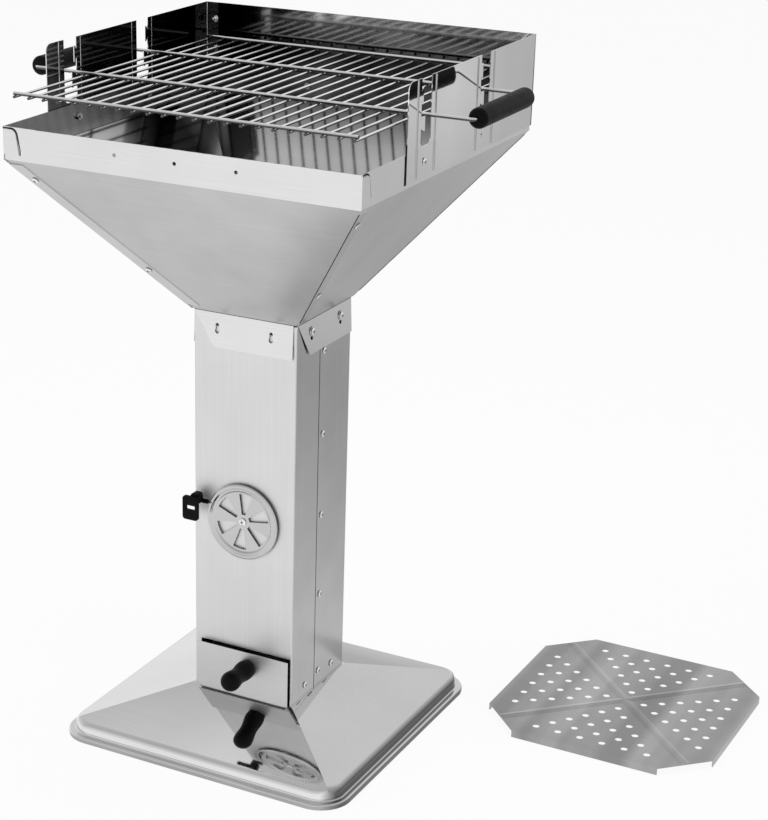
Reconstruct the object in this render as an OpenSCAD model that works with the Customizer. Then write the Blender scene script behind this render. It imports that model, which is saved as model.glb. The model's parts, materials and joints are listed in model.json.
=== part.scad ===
// Stainless pedestal charcoal grill: square pressed foot, folded column, four-panel funnel,
// slotted windshield on three sides and a lift-out wire grid. Front faces -Y, base stands on z = 0.

/* [Sheet] */
// thickness of every folded sheet
sheet_t = 1; // [0.6:0.1:2]
// play left between sheets that only lie together
sheet_gap = 0.1; // [0.05:0.05:0.3]

/* [Foot] */
// half width of the foot at the floor
foot_half = 185; // [150:1:230]
// height of the foot's outer lip
foot_edge_h = 6; // [3:0.5:15]
// width of the flange between lip and skirt
foot_flange_w = 8.5; // [4:0.5:20]
// lean of the skirt over its height
foot_draft = 1; // [0.5:0.5:5]
// height of the shoulder where skirt and slopes meet
foot_shoulder_z = 19; // [10:0.5:30]
// margin of the flat top round the column
foot_top_margin = 2; // [1:0.5:10]
// height of the flat on top of the foot
foot_top_z = 50; // [30:1:80]
// corner radius of the foot
foot_corner_r = 38; // [12:1:60]
// wall of the pressed foot
foot_t = 1.2; // [0.8:0.1:3]
// height of the foot's upstands inside the column
foot_upstand_h = 24; // [12:1:40]
// half length of each upstand
foot_upstand_half = 44; // [20:1:58]

/* [Column] */
// half width of the square column
col_half = 65; // [50:0.5:90]
// height of the column above the foot
col_h = 462; // [350:1:550]
// front edge of the rear half, where the side seam lies
col_seam_y = -9.5; // [-30:0.5:30]
// width of the seam between the two halves
col_seam_w = 0.8; // [0.3:0.1:2]
// rear edge of the front half's joggled strip
col_lap_y = 13; // [5:0.5:30]
// height of the lowest seam screw above the foot's top
col_screw_up = 19; // [10:0.5:22]
// places of the other seam screws as shares of the column's height
col_screw_shares = [0.258, 0.475, 0.69, 0.905]; // [0:0.001:1]
// height of the foot screws above the foot's top
foot_screw_up = 14.5; // [6:0.5:22]
// distance of the foot screws from the middle
foot_screw_y = 33; // [15:1:42]
// radius of the screw holes
hole_r = 2.1; // [1.5:0.05:3]

/* [Air vent] */
// height of the vent's axis above the foot's top
vent_up = 221; // [150:1:350]
// number of vent windows
vent_count = 6; // [4:1:8]
// inner radius of the windows
vent_in_r = 9; // [6:0.5:16]
// outer radius of the windows
vent_out_r = 34; // [24:0.5:38]
// angular width of each window
vent_win_a = 29; // [15:0.5:29.5]
// direction of the first window
vent_first_a = 23.5; // [0:0.5:59]
// radius of the flat field of the disc
vent_field_r = 38.5; // [30:0.5:42]
// outer radius of the disc
vent_disc_r = 45.5; // [38:0.5:55]
// gap between column and the disc's flat field
vent_gap = 2; // [0.5:0.1:4]
// how far the disc's outer ring stands off the column
vent_ring_gap = 4; // [2:0.1:8]
// radius of the pivot bush
vent_bush_r = 4.5; // [3:0.1:7]
// radius of the pivot shank
vent_pin_r = 2.5; // [1.5:0.1:4]
// running play of the disc on its pivot
vent_play = 0.08; // [0.02:0.01:0.1]
// height of the grip tab above the vent's axis
vent_tab_up = 16.5; // [0:0.5:30]
// reach of the grip tab past the disc
vent_tab_l = 12.5; // [8:0.5:25]
// width of the grip tab
vent_tab_w = 2.5; // [2:0.5:15]

/* [Vent grip] */
// gap between the disc's edge and the grip
vgrip_gap = 3; // [0.5:0.5:4]
// width of the grip body
vgrip_w = 20; // [15:0.5:35]
// lower and upper edge of the grip body, from the vent's axis
vgrip_up = [-3, 25]; // [mm]
// thickness of the grip body
vgrip_t = 4; // [3:0.5:12]
// distance of the grip body from the disc's ring
vgrip_stand = 13; // [6:0.5:20]
// gap between the disc's edge and the grip's neck
vneck_gap = 2; // [0.5:0.5:4]
// width of the grip's neck
vneck_w = 15.5; // [10:0.5:20]
// lower and upper edge of the grip's neck, from the vent's axis
vneck_up = [12, 28.5]; // [mm]
// corner radius of the grip
vgrip_r = 3.5; // [1:0.5:6]
// corner radius of the neck
vneck_r = 5; // [1:0.5:6]
// wall of the grip's prong round the tab
vprong_t = 1.2; // [0.8:0.1:3]
// reach of the prong towards the disc
vprong_l = 3.5; // [1:0.5:5]
// small through slot in the grip: width, height
vslot_size = [11.5, 6]; // [mm]
// middle of the slot: from the grip's left edge, from the vent's axis
vslot_at = [10, 12.5]; // [mm]

/* [Ash drawer] */
// distance of the drawer's middle from the column's middle
dr_x = 3; // [-4:0.5:4]
// distance of the opening from the column's sides, with the drawer in the middle
dr_open_in = 5.5; // [3:0.5:20]
// height of the opening above the foot's top
dr_open_h = 60; // [40:1:90]
// cover of the front plate past the opening, at each side
dr_front_over = 0.8; // [0.2:0.1:3]
// gap under and over the front plate
dr_front_gap = [1.8, 0.8]; // [mm]
// how far the front plate stands proud of the column
dr_proud = 8; // [2:0.5:15]
// play beside the tray
dr_side_play = 3; // [1:0.5:8]
// height of the opening left over the tray
dr_top_gap = 15; // [5:1:30]
// gap behind the tray
dr_rear_gap = 13; // [5:1:30]
// play under the tray
dr_play = 0.3; // [0.1:0.05:1]
// middle of the knob: from the drawer's middle, and down from the opening's upper edge
dr_knob_at = [7.5, 20]; // [mm]
// length of the knob
dr_knob_l = 51; // [30:1:60]
// radius of the knob's two bulbs
dr_knob_r = 11.7; // [8:0.1:15]
// radius of the knob's waist
dr_knob_waist_r = 9.7; // [5:0.1:12]
// radius of the knob's screw
dr_knob_screw_r = 2; // [1.5:0.1:3]

/* [Funnel] */
// gap between the column's upper end and the funnel's lower bend
fun_gap = 2; // [0:0.5:10]
// rise of the slope
slope_rise = 179; // [140:1:230]
// half width of the rim
rim_half = 210; // [180:1:260]
// height of the rim band
rim_h = 35; // [20:0.5:60]
// width of the flange that laps the next panel
lap_w = 17.5; // [8:0.5:25]
// distance of the flange's ends from the slope's lower and upper bend
lap_ends = [8, 6]; // [mm]
// places of the lap screws as shares of the slope's length
lap_screw_shares = [0.279, 0.876]; // [0:0.001:1]
// distance of the lap screws from the corner
lap_screw_in = 9.5; // [5:0.5:12]
// reach of the rim tab round the corner
rim_tab_l = 20; // [10:0.5:40]
// corner radius of the rim tab
rim_tab_r = 6; // [2:0.5:10]
// distance of the rim tab from the rim's lower bend and from its upper edge
rim_tab_in = [6, 2.5]; // [mm]
// distance of the rim holes from the middle
rim_hole_x = 71.5; // [40:0.5:120]
// distance of the rim holes below the upper edge
rim_hole_drop = 14.5; // [6:0.5:25]
// height of the collar tab
tab_h = 40; // [20:1:60]
// distance of the collar tab's right edge from the column's corner
tab_right_in = 4; // [1:0.5:15]
// the same for its left edge, at the bend and at its lower end
tab_left_in = [1, 27]; // [mm]
// outward lean of the collar tab
tab_lean = 2.5; // [0:0.5:8]
// distance of the keyholes from the middle
key_x = 34; // [20:1:50]
// distance below the bend of the keyhole's narrow top and of its wide foot
key_drop = [14, 21]; // [mm]
// radius of the keyhole's narrow top and of its wide foot
key_r = [2.1, 3]; // [mm]

/* [Windshield] */
// height of the windshield above the rim
ws_rise = 71.5; // [50:0.5:120]
// distance of the windshield's lower edge from the rim's lower bend
ws_low_up = 5; // [2:0.5:12]
// distance of the right panel's front edge from the rim's front
ws_right_in = 98.5; // [60:0.5:115]
// distance of the left panel's front edge from the rim's front
ws_left_in = 84.5; // [50:0.5:100]
// radius of the panels' upper front corner
ws_corner_r = 9; // [3:0.5:20]
// width of each slot
slot_w = 24; // [18:0.5:40]
// distance of the slots' lower end from the rim's upper edge
slot_up = 2; // [1:0.5:12]
// reach of the upper rest tooth
tooth_up_l = 4.2; // [3:0.1:9]
// reach of the lower rest tooth, which carries the wire
tooth_low_l = 9.4; // [8:0.1:14]
// vertical distance between the teeth
tooth_pitch = 28; // [20:1:34]
// height of a tooth at its root and at its tip
tooth_h = [9, 16]; // [mm]
// drop of a tooth's upper edge towards its root
tooth_drop = 3; // [0:0.5:6]
// height of the lip at the end of a tooth
tooth_lip_h = 1.6; // [0.5:0.1:4]
// width of the lip at the end of a tooth
tooth_lip_w = 0.8; // [0.5:0.1:2]
// gap between a tooth's lip or tip and the wire
tooth_play = 0.3; // [0.1:0.05:0.6]
// radius of the stiffening beads
bead_r = 1.5; // [0.8:0.1:3]
// distance of the beads from the slot edges
bead_off = 9; // [5:0.5:15]
// length of the rear flange of the side panels
ws_flange_l = 17; // [12:0.5:30]
// distances of the rear flange bolts below the windshield's upper edge
ws_bolt_drop = [54.5, 19.5]; // [mm]
// distance of the rear flange bolts from the rim's side
ws_bolt_in = 9; // [5:0.5:12]

/* [Grid] */
// how far the loose grid lies to the right of the middle
grid_x = 2.5; // [-4:0.5:4]
// height of the long wires' axes above the rim
grid_rise = 34.7; // [10:0.1:60]
// distances of the front and the rear end wire from the rim
end_wire_in = [6, 20]; // [mm]
// places of the two ring wires, front and rear
ring_y = [-75, 71]; // [mm]
// radius of the long wires
wire_r = 2; // [1.5:0.1:4]
// radius of the cross wires
cross_r = 1.5; // [1:0.1:3]
// depth to which welded wires sink into each other
weld_in = 0.3; // [0.1:0.05:0.6]
// number of cross wires
cross_count = 23; // [11:2:41]
// distance of the outer cross wires from the rim, with the grid in the middle
cross_in = 11.6; // [9:0.1:50]
// overhang of the cross wires past the end wires
cross_over = 3.5; // [0:0.5:10]
// distance of the end wires' ends from the rim, with the grid in the middle
end_wire_gap = 9.5; // [7:0.5:30]
// distance of the grips' axes from the rim, with the grid in the middle
grip_out = 53.5; // [40:0.5:90]
// bend radius of the ring wire
ring_bend_r = 4.2; // [3:0.1:12]
// distance of the grips' ends from the ring wires, front and rear
grip_end_in = [4.5, 13]; // [mm]
// radius of the grips
grip_r = 10.7; // [8:0.1:15]
// rounding of the grips' ends
grip_round_r = 6; // [2:0.5:9]
// play between grip and wire
grip_play = 0.15; // [0.05:0.05:0.5]

/* [Charcoal plate] */
// half width of the plate
plate_half = 140; // [110:1:155]
// gap between the foot and the plate lying beside it
plate_gap = 47; // [5:1:200]
// place of the plate towards the rear
plate_y = 222; // [-100:1:300]
// depth of the folded edges
plate_lip_h = 8; // [4:0.5:15]
// length cut off each corner
plate_cut = 50; // [30:1:70]
// radius of the air holes
plate_hole_r = 4.2; // [3:0.1:6]
// distance between holes in a row, as a share of the half width
plate_pitch_share = 0.1967; // [0.15:0.0001:0.25]
// distance between rows, as a share of the half width
plate_row_share = 0.1306; // [0.1:0.0001:0.2]
// distance of the single hole from the middle, as a share of the half width
plate_first_share = 0.171; // [0.1:0.001:0.3]
// rows in each field
plate_rows = 6; // [3:1:8]
// width of the pressed cross
crease_w = 5; // [2:0.5:10]
// height of the pressed cross
crease_h = 1; // [0.5:0.1:3]

/* [Fasteners] */
// shank radius of the small screws
screw_r = 2; // [1.4:0.05:3]
// head radius of the small screws
head_r = 3.9; // [3:0.1:6]
// head height of the small screws
head_h = 2.2; // [1:0.1:4]
// length of the small screws under the head
screw_l = 4; // [3:0.5:12]
// length of the bolts under the head
bolt_l = 8; // [5:0.5:16]
// radius and height of the washers
washer_size = [5.5, 0.8]; // [mm]
// half width across flats and height of the nuts
nut_size = [3.5, 3]; // [mm]
// arm length, arm width and depth of the cross recess
recess_size = [4.4, 0.9, 1.2]; // [mm]

/* [Hidden] */
$fn = 48;
// small overlap that makes unions and cuts clean
eps = 0.01;
// one overrun for every cut
cut = 40;
quarter = 90;
half_turn = 180;
full_turn = 360;
diag = 45;
hex_turn = 60;
// heights, from the foot up
foot_skirt_half = foot_half - foot_flange_w;
foot_shoulder_half = foot_skirt_half - foot_draft;
foot_top_half = col_half + foot_top_margin;
foot_screw_z = foot_top_z + foot_screw_up;
col_top_z = foot_top_z + col_h;
col_screw_z = concat([foot_top_z + col_screw_up], [for (s = col_screw_shares) foot_top_z + s * col_h]);
fun_low_z = col_top_z + fun_gap;
rim_low_z = fun_low_z + slope_rise;
rim_top_z = rim_low_z + rim_h;
ws_low_z = rim_low_z + ws_low_up;
ws_top_z = rim_top_z + ws_rise;
grid_z = rim_top_z + grid_rise;
// column
wall_in = col_half - sheet_t;
lap_in = wall_in - sheet_gap;
// vent and its grip
vent_z = foot_top_z + vent_up;
vent_field_y = -col_half - vent_gap;
vent_ring_y = -col_half - vent_ring_gap;
vent_tab_r = vent_disc_r + vent_tab_l;
vent_tab_root = sqrt(vent_disc_r * vent_disc_r - vent_tab_up * vent_tab_up) - sheet_t * 3;
vgrip_right = -vent_disc_r - vgrip_gap;
vgrip_x = [vgrip_right - vgrip_w, vgrip_right];
vgrip_y = [vent_ring_y - vgrip_stand - vgrip_t, vent_ring_y - vgrip_stand];
vgrip_z = [for (u = vgrip_up) vent_z + u];
vneck_right = -vent_disc_r - vneck_gap;
vneck_x = [vneck_right - vneck_w, vneck_right];
vneck_z = [for (u = vneck_up) vent_z + u];
vslot_pos = [vgrip_x[0] + vslot_at[0], vent_z + vslot_at[1]];
// drawer
dr_open_half = col_half - dr_open_in;
dr_open_top = foot_top_z + dr_open_h;
dr_front_half = dr_open_half + dr_front_over;
dr_front_z = [foot_top_z + dr_front_gap[0], dr_open_top - dr_front_gap[1]];
dr_plate_y = -col_half - dr_proud;
dr_floor_z = foot_top_z + dr_play;
dr_tray_half = dr_open_half - dr_side_play;
dr_tray_h = dr_open_h - dr_top_gap;
dr_tray_y = col_half - dr_rear_gap;
dr_knob_pos = [dr_x + dr_knob_at[0], dr_open_top - dr_knob_at[1]];
// funnel
fun_low_half = col_half + sheet_t + 2 * sheet_gap;
slope_run = rim_half - fun_low_half;
slope_l = sqrt(slope_rise * slope_rise + slope_run * slope_run);
slope_a = atan2(slope_rise, slope_run);
lap_low_v = lap_ends[0];
lap_top_v = slope_l - lap_ends[1];
lap_screw_v = [for (s = lap_screw_shares) s * slope_l];
// half width of a panel at the given distance up its slope
function half_at(v) = fun_low_half + slope_run * v / slope_l;
// a sheet on the slope is this thick when measured level
level_t = sheet_t / sin(slope_a);
plain_edge_in = level_t + sheet_t / 2 + 2 * sheet_gap;
rim_tab_z = [rim_low_z + rim_tab_in[0], rim_top_z - rim_tab_in[1]];
rim_hole_z = rim_top_z - rim_hole_drop;
tab_low_z = fun_low_z - tab_h;
tab_right = col_half - tab_right_in;
tab_left = [for (d = tab_left_in) d - col_half];
key_z = [for (d = key_drop) fun_low_z - d];
// distance of the leaning tab from the column where the washers sit
tab_out = fun_low_half - col_half + (key_drop[0] + washer_size[0]) * tan(tab_lean);
// windshield
ws_left_x = -rim_half - sheet_t;
ws_right_y = ws_right_in - rim_half;
ws_left_y = ws_left_in - rim_half;
slot_low_z = rim_top_z + slot_up;
ws_bolt_x = rim_half - ws_bolt_in;
ws_bolt_z = [for (d = ws_bolt_drop) ws_top_z - d];
root_off = wire_r + tooth_play + tooth_up_l;
left_root = [for (y = ring_y) y + root_off];
right_root = [for (y = ring_y) y - root_off];
// grid
rest_z = grid_z - wire_r;
cross_z = grid_z - wire_r - cross_r + weld_in;
wire_y = [end_wire_in[0] - rim_half, ring_y[0], ring_y[1], rim_half - end_wire_in[1]];
end_wire_half = rim_half - end_wire_gap;
cross_pitch = 2 * (rim_half - cross_in) / (cross_count - 1);
grip_x = rim_half + grip_out;
grip_y = [ring_y[0] + grip_end_in[0], ring_y[1] - grip_end_in[1]];
// charcoal plate
plate_pos = [foot_half + plate_gap + plate_half, plate_y];

// a square block with rounded corners, from z = 0 up
module rounded_square(half, r, h) {
  linear_extrude(h) union() {
    square([2 * half, 2 * (half - r)], center = true);
    square([2 * (half - r), 2 * half], center = true);
    for (sx = [-1, 1]) {
      for (sy = [-1, 1]) {
        translate([sx * (half - r), sy * (half - r)]) circle(r);
      }
    }
  }
}

// the pressed foot as a solid block, drawn in from its outside by the given amount
module foot_block(inset) {
  drop = inset > 0 ? inset : 0;
  skirt = foot_skirt_half - inset;
  shoulder = foot_shoulder_half - inset;
  top = foot_top_half - inset;
  outline = [[-skirt, -drop], [-skirt, foot_edge_h - drop], [-shoulder, foot_shoulder_z - drop],
    [-top, foot_top_z - drop], [top, foot_top_z - drop], [shoulder, foot_shoulder_z - drop],
    [skirt, foot_edge_h - drop], [skirt, -drop]];
  intersection() {
    rotate([quarter, 0, 0]) linear_extrude(2 * foot_half, center = true) polygon(outline);
    rotate([quarter, 0, quarter]) linear_extrude(2 * foot_half, center = true) polygon(outline);
    translate([0, 0, -drop])
      rounded_square(skirt, foot_corner_r - foot_flange_w - inset, foot_top_z);
  }
  translate([0, 0, -drop]) rounded_square(foot_half - inset, foot_corner_r - inset, foot_edge_h);
}

module base_pan() {
  up_z = foot_top_z - foot_t;
  color("silver") difference() {
    union() {
      difference() {
        foot_block(0);
        foot_block(foot_t);
      }
      // upstands that the column is screwed to, on both sides and at the back
      for (a = [quarter, half_turn, -quarter]) {
        rotate([0, 0, a]) translate([-foot_upstand_half, -lap_in + sheet_gap, up_z])
          cube([2 * foot_upstand_half, sheet_t, foot_upstand_h]);
      }
    }
    side_holes([-foot_screw_y, foot_screw_y], [foot_screw_z]);
    side_holes([0], [col_screw_z[0]]);
  }
}

module side_holes(ys, zs) {
  for (y = ys) {
    for (z = zs) {
      translate([-col_half - cut, y, z]) rotate([0, quarter, 0])
        cylinder(h = 2 * (col_half + cut), r = hole_r);
    }
  }
}

module sector(r_in, r_out, a) {
  // a window of the given angle round the +X direction
  reach = r_out * 2;
  intersection() {
    difference() {
      circle(r_out);
      circle(r_in);
    }
    polygon([[0, 0], [reach, -reach * tan(a / 2)], [reach, reach * tan(a / 2)]]);
  }
}

module windows(first) {
  for (k = [0 : vent_count - 1]) {
    rotate([0, 0, first + k * full_turn / vent_count]) sector(vent_in_r, vent_out_r, vent_win_a);
  }
}

module column_front() {
  h = col_top_z - foot_top_z;
  color("silver") difference() {
    union() {
      translate([-col_half, -col_half, foot_top_z]) cube([2 * col_half, sheet_t, h]);
      for (m = [0, 1]) {
        mirror([m, 0, 0]) {
          translate([wall_in, -col_half, foot_top_z])
            cube([sheet_t, col_seam_y - col_seam_w + col_half, h]);
          translate([lap_in - sheet_t, col_seam_y - col_seam_w - sheet_t, foot_top_z + foot_upstand_h])
            cube([sheet_t, col_lap_y - col_seam_y + col_seam_w + sheet_t, h - foot_upstand_h]);
          translate([lap_in - sheet_t, col_seam_y - col_seam_w - sheet_t, foot_top_z + foot_upstand_h])
            cube([sheet_t * 2, sheet_t, h - foot_upstand_h]);
        }
      }
    }
    translate([dr_x - dr_open_half, -col_half - sheet_t, foot_top_z - eps])
      cube([2 * dr_open_half, sheet_t * 3, dr_open_top - foot_top_z]);
    translate([0, -col_half + sheet_t * 2, vent_z]) rotate([quarter, 0, 0]) linear_extrude(sheet_t * 3)
      windows(vent_first_a + half_turn / vent_count);
    translate([0, -col_half + sheet_t * 2, vent_z]) rotate([quarter, 0, 0])
      cylinder(h = sheet_t * 3, r = vent_pin_r + vent_play);
    side_holes([0], col_screw_z);
    side_holes([-foot_screw_y, -key_x], [foot_screw_z]);
    side_holes([-key_x], [key_z[0]]);
    for (x = [-key_x, key_x]) {
      translate([x, -col_half + sheet_t * 2, key_z[0]]) rotate([quarter, 0, 0])
        cylinder(h = sheet_t * 3, r = hole_r);
    }
  }
}

module column_rear() {
  h = col_top_z - foot_top_z;
  color("silver") difference() {
    union() {
      translate([-col_half, wall_in, foot_top_z]) cube([2 * col_half, sheet_t, h]);
      for (m = [0, 1]) {
        mirror([m, 0, 0]) translate([wall_in, col_seam_y, foot_top_z])
          cube([sheet_t, col_half - col_seam_y, h]);
      }
    }
    side_holes([0], col_screw_z);
    side_holes([foot_screw_y], [foot_screw_z]);
    side_holes([key_x], [key_z[0]]);
    for (x = [-key_x, key_x]) {
      translate([x, col_half + sheet_t, key_z[0]]) rotate([quarter, 0, 0])
        cylinder(h = sheet_t * 3, r = hole_r);
    }
  }
}

// a domed screw with a cross recess, its head's underside at z = 0 and its shank going down
module screw(l) {
  difference() {
    union() {
      intersection() {
        cylinder(h = head_h, r = head_r);
        translate([0, 0, head_h - head_r * 2]) sphere(head_r * 2);
      }
      translate([0, 0, -l]) cylinder(h = l + eps, r = screw_r);
    }
    for (a = [0, quarter]) {
      rotate([0, 0, a]) translate([-recess_size[0] / 2, -recess_size[1] / 2, head_h - recess_size[2]])
        cube([recess_size[0], recess_size[1], cut]);
    }
  }
}

module nut() {
  difference() {
    linear_extrude(nut_size[1]) intersection() {
      square([cut, 2 * nut_size[0]], center = true);
      rotate(hex_turn) square([cut, 2 * nut_size[0]], center = true);
      rotate(-hex_turn) square([cut, 2 * nut_size[0]], center = true);
    }
    translate([0, 0, -eps]) cylinder(h = nut_size[1] * 2, r = screw_r + sheet_gap / 2);
  }
}

module to_right(y, z, x) {
  translate([x, y, z]) rotate([0, quarter, 0]) children();
}

module column_seam_screws() {
  color("gainsboro") for (m = [0, 1]) {
    mirror([m, 0, 0]) for (z = col_screw_z) {
      to_right(0, z, col_half) screw(screw_l);
    }
  }
}

module foot_screws() {
  color("gainsboro") for (m = [0, 1]) {
    mirror([m, 0, 0]) for (y = [-foot_screw_y, foot_screw_y]) {
      to_right(y, foot_screw_z, col_half) screw(screw_l);
    }
  }
}

// vent pieces are drawn round +Z, then laid so that +Z points to the front
module on_front(y) {
  translate([0, y, vent_z]) rotate([quarter, 0, 0]) children();
}

module vent_disc() {
  color("silver") on_front(0) {
    difference() {
      union() {
        translate([0, 0, -vent_field_y]) cylinder(h = sheet_t, r = vent_field_r);
        translate([0, 0, -vent_field_y]) difference() {
          cylinder(h = vent_ring_gap - vent_gap + sheet_t, r = vent_field_r + sheet_t);
          translate([0, 0, -eps]) cylinder(h = cut, r = vent_field_r);
        }
        translate([0, 0, -vent_field_y]) cylinder(h = sheet_t, r = vent_field_r + sheet_t);
        translate([0, 0, -vent_ring_y]) difference() {
          cylinder(h = sheet_t, r = vent_disc_r);
          translate([0, 0, -eps]) cylinder(h = cut, r = vent_field_r);
        }
        // rolled outer edge
        rotate_extrude() translate([vent_disc_r - sheet_t, -vent_ring_y]) circle(sheet_t);
        // tab that carries the grip
        translate([-vent_tab_r, vent_tab_up - vent_tab_w / 2, -vent_ring_y])
          cube([vent_tab_r - vent_tab_root, vent_tab_w, sheet_t]);
      }
      translate([0, 0, -vent_field_y - eps]) linear_extrude(cut) windows(vent_first_a);
      translate([0, 0, -vent_field_y - cut / 2]) cylinder(h = cut, r = vent_pin_r + vent_play);
    }
  }
}

module vent_pivot() {
  head_y = -vent_field_y + sheet_t + vent_play;
  color("gainsboro") on_front(0) {
    difference() {
      union() {
        translate([0, 0, col_half - screw_l]) cylinder(h = head_y - col_half + screw_l, r = vent_pin_r);
        translate([0, 0, col_half]) cylinder(h = vent_gap - vent_play, r = vent_bush_r);
        translate([0, 0, head_y]) intersection() {
          cylinder(h = head_h, r = vent_bush_r);
          translate([0, 0, head_h - vent_bush_r * 2]) sphere(vent_bush_r * 2);
        }
        translate([0, 0, col_half - sheet_t - nut_size[1]]) cylinder(h = nut_size[1], r = vent_bush_r);
      }
      for (a = [diag / 2, diag / 2 + quarter]) {
        rotate([0, 0, a])
          translate([-recess_size[0] / 2, -recess_size[1] / 2, head_y + head_h - recess_size[2]])
          cube([recess_size[0], recess_size[1], cut]);
      }
    }
  }
}

module round_block(xs, zs, ys, r) {
  translate([0, ys[1], 0]) rotate([quarter, 0, 0]) linear_extrude(ys[1] - ys[0]) {
    translate([xs[0] + r, zs[0]]) square([xs[1] - xs[0] - 2 * r, zs[1] - zs[0]]);
    translate([xs[0], zs[0] + r]) square([xs[1] - xs[0], zs[1] - zs[0] - 2 * r]);
    for (x = [xs[0] + r, xs[1] - r]) {
      for (z = [zs[0] + r, zs[1] - r]) {
        translate([x, z]) circle(r);
      }
    }
  }
}

module vent_grip() {
  neck_y = [vgrip_y[1] - eps, vent_ring_y + sheet_t];
  color("black") difference() {
    union() {
      round_block(vgrip_x, vgrip_z, vgrip_y, vgrip_r);
      round_block(vneck_x, vneck_z, neck_y, vneck_r);
      // prong round the tab
      translate([vneck_x[0] + vneck_r, neck_y[0], vent_z + vent_tab_up - vent_tab_w / 2 - vprong_t])
        cube([vneck_w - vneck_r + vprong_l, neck_y[1] - neck_y[0], vent_tab_w + 2 * vprong_t]);
    }
    translate([vslot_pos[0] - vslot_size[0] / 2, vgrip_y[0] - eps, vslot_pos[1] - vslot_size[1] / 2])
      cube([vslot_size[0], cut, vslot_size[1]]);
    // pocket that the tab is pushed into
    on_front(0)
      translate([-vent_tab_r - sheet_gap, vent_tab_up - vent_tab_w / 2 - sheet_gap, -vent_ring_y - cut])
      cube([cut * 2, vent_tab_w + 2 * sheet_gap, cut + sheet_t + sheet_gap]);
  }
}

module ash_tray() {
  wall_y = dr_plate_y + sheet_t;
  color("dimgray") difference() {
    translate([dr_x - dr_tray_half, wall_y, dr_floor_z])
      cube([2 * dr_tray_half, dr_tray_y - wall_y, dr_tray_h]);
    translate([dr_x - dr_tray_half + sheet_t, wall_y + sheet_t, dr_floor_z + sheet_t])
      cube([2 * (dr_tray_half - sheet_t), dr_tray_y - wall_y - 2 * sheet_t, cut * 2]);
    translate([dr_knob_pos[0], wall_y - cut / 2, dr_knob_pos[1]]) rotate([-quarter, 0, 0])
      cylinder(h = cut, r = dr_knob_screw_r + sheet_gap);
  }
}

module drawer_front() {
  color("silver") difference() {
    translate([dr_x - dr_front_half, dr_plate_y, dr_front_z[0]])
      cube([2 * dr_front_half, sheet_t, dr_front_z[1] - dr_front_z[0]]);
    translate([dr_knob_pos[0], dr_plate_y - cut / 2, dr_knob_pos[1]]) rotate([-quarter, 0, 0])
      cylinder(h = cut, r = dr_knob_screw_r + sheet_gap);
  }
}

module drawer_knob() {
  waist_l = dr_knob_l - 2 * dr_knob_r;
  // radius of the hollow that leaves the waist between the two bulbs
  dip = dr_knob_r - dr_knob_waist_r;
  dip_r = (waist_l * waist_l / 4 + dip * dip) / (2 * dip);
  blind = dr_knob_l / 2;
  color("black") translate([dr_knob_pos[0], dr_plate_y, dr_knob_pos[1]]) rotate([quarter, 0, 0])
  difference() {
    rotate_extrude() difference() {
      union() {
        square([dr_knob_r, dr_knob_l - dr_knob_r]);
        intersection() {
          translate([0, dr_knob_l - dr_knob_r]) circle(dr_knob_r);
          square([dr_knob_r, dr_knob_l]);
        }
      }
      translate([dr_knob_waist_r + dip_r, dr_knob_l / 2]) circle(dip_r);
      // the foot is drawn in a little towards the plate
      polygon([[dr_knob_r - dip, -eps], [dr_knob_r + eps, dr_knob_r - dip], [dr_knob_r + eps, -eps]]);
    }
    translate([0, 0, -eps]) cylinder(h = blind, r = dr_knob_screw_r + sheet_gap / 2);
  }
}

module drawer_knob_screw() {
  back_y = dr_plate_y + 2 * sheet_t;
  color("gainsboro") translate([dr_knob_pos[0], back_y, dr_knob_pos[1]]) rotate([-quarter, 0, 0]) {
    cylinder(h = head_h, r = head_r);
    translate([0, 0, -dr_knob_l / 3]) cylinder(h = dr_knob_l / 3 + eps, r = dr_knob_screw_r);
  }
}

// frame of a slope: x runs along the panel, y up the slope, z points outwards
module on_slope() {
  translate([0, -fun_low_half, fun_low_z]) rotate([half_turn - slope_a, 0, 0]) children();
}

module lap_screws_at(side_turn) {
  // screws through this panel's flange into the next panel
  rotate([0, 0, side_turn]) on_slope() for (v = lap_screw_v) {
    translate([lap_screw_in - half_at(v), v, sheet_t]) children();
  }
}

// outline of the rim tab: its free edge leans back and ends in a round corner
module rim_tab() {
  r = rim_tab_r;
  low = rim_tab_z[0];
  top = rim_tab_z[1];
  lean = r / 2;
  polygon([[0, low], [rim_tab_l, low], [rim_tab_l - lean, top - r], [rim_tab_l - lean - r, top - r],
    [rim_tab_l - lean - r, top], [0, top]]);
  translate([rim_tab_l - lean - r, top - r]) intersection() {
    circle(r);
    square(r);
  }
}

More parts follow.
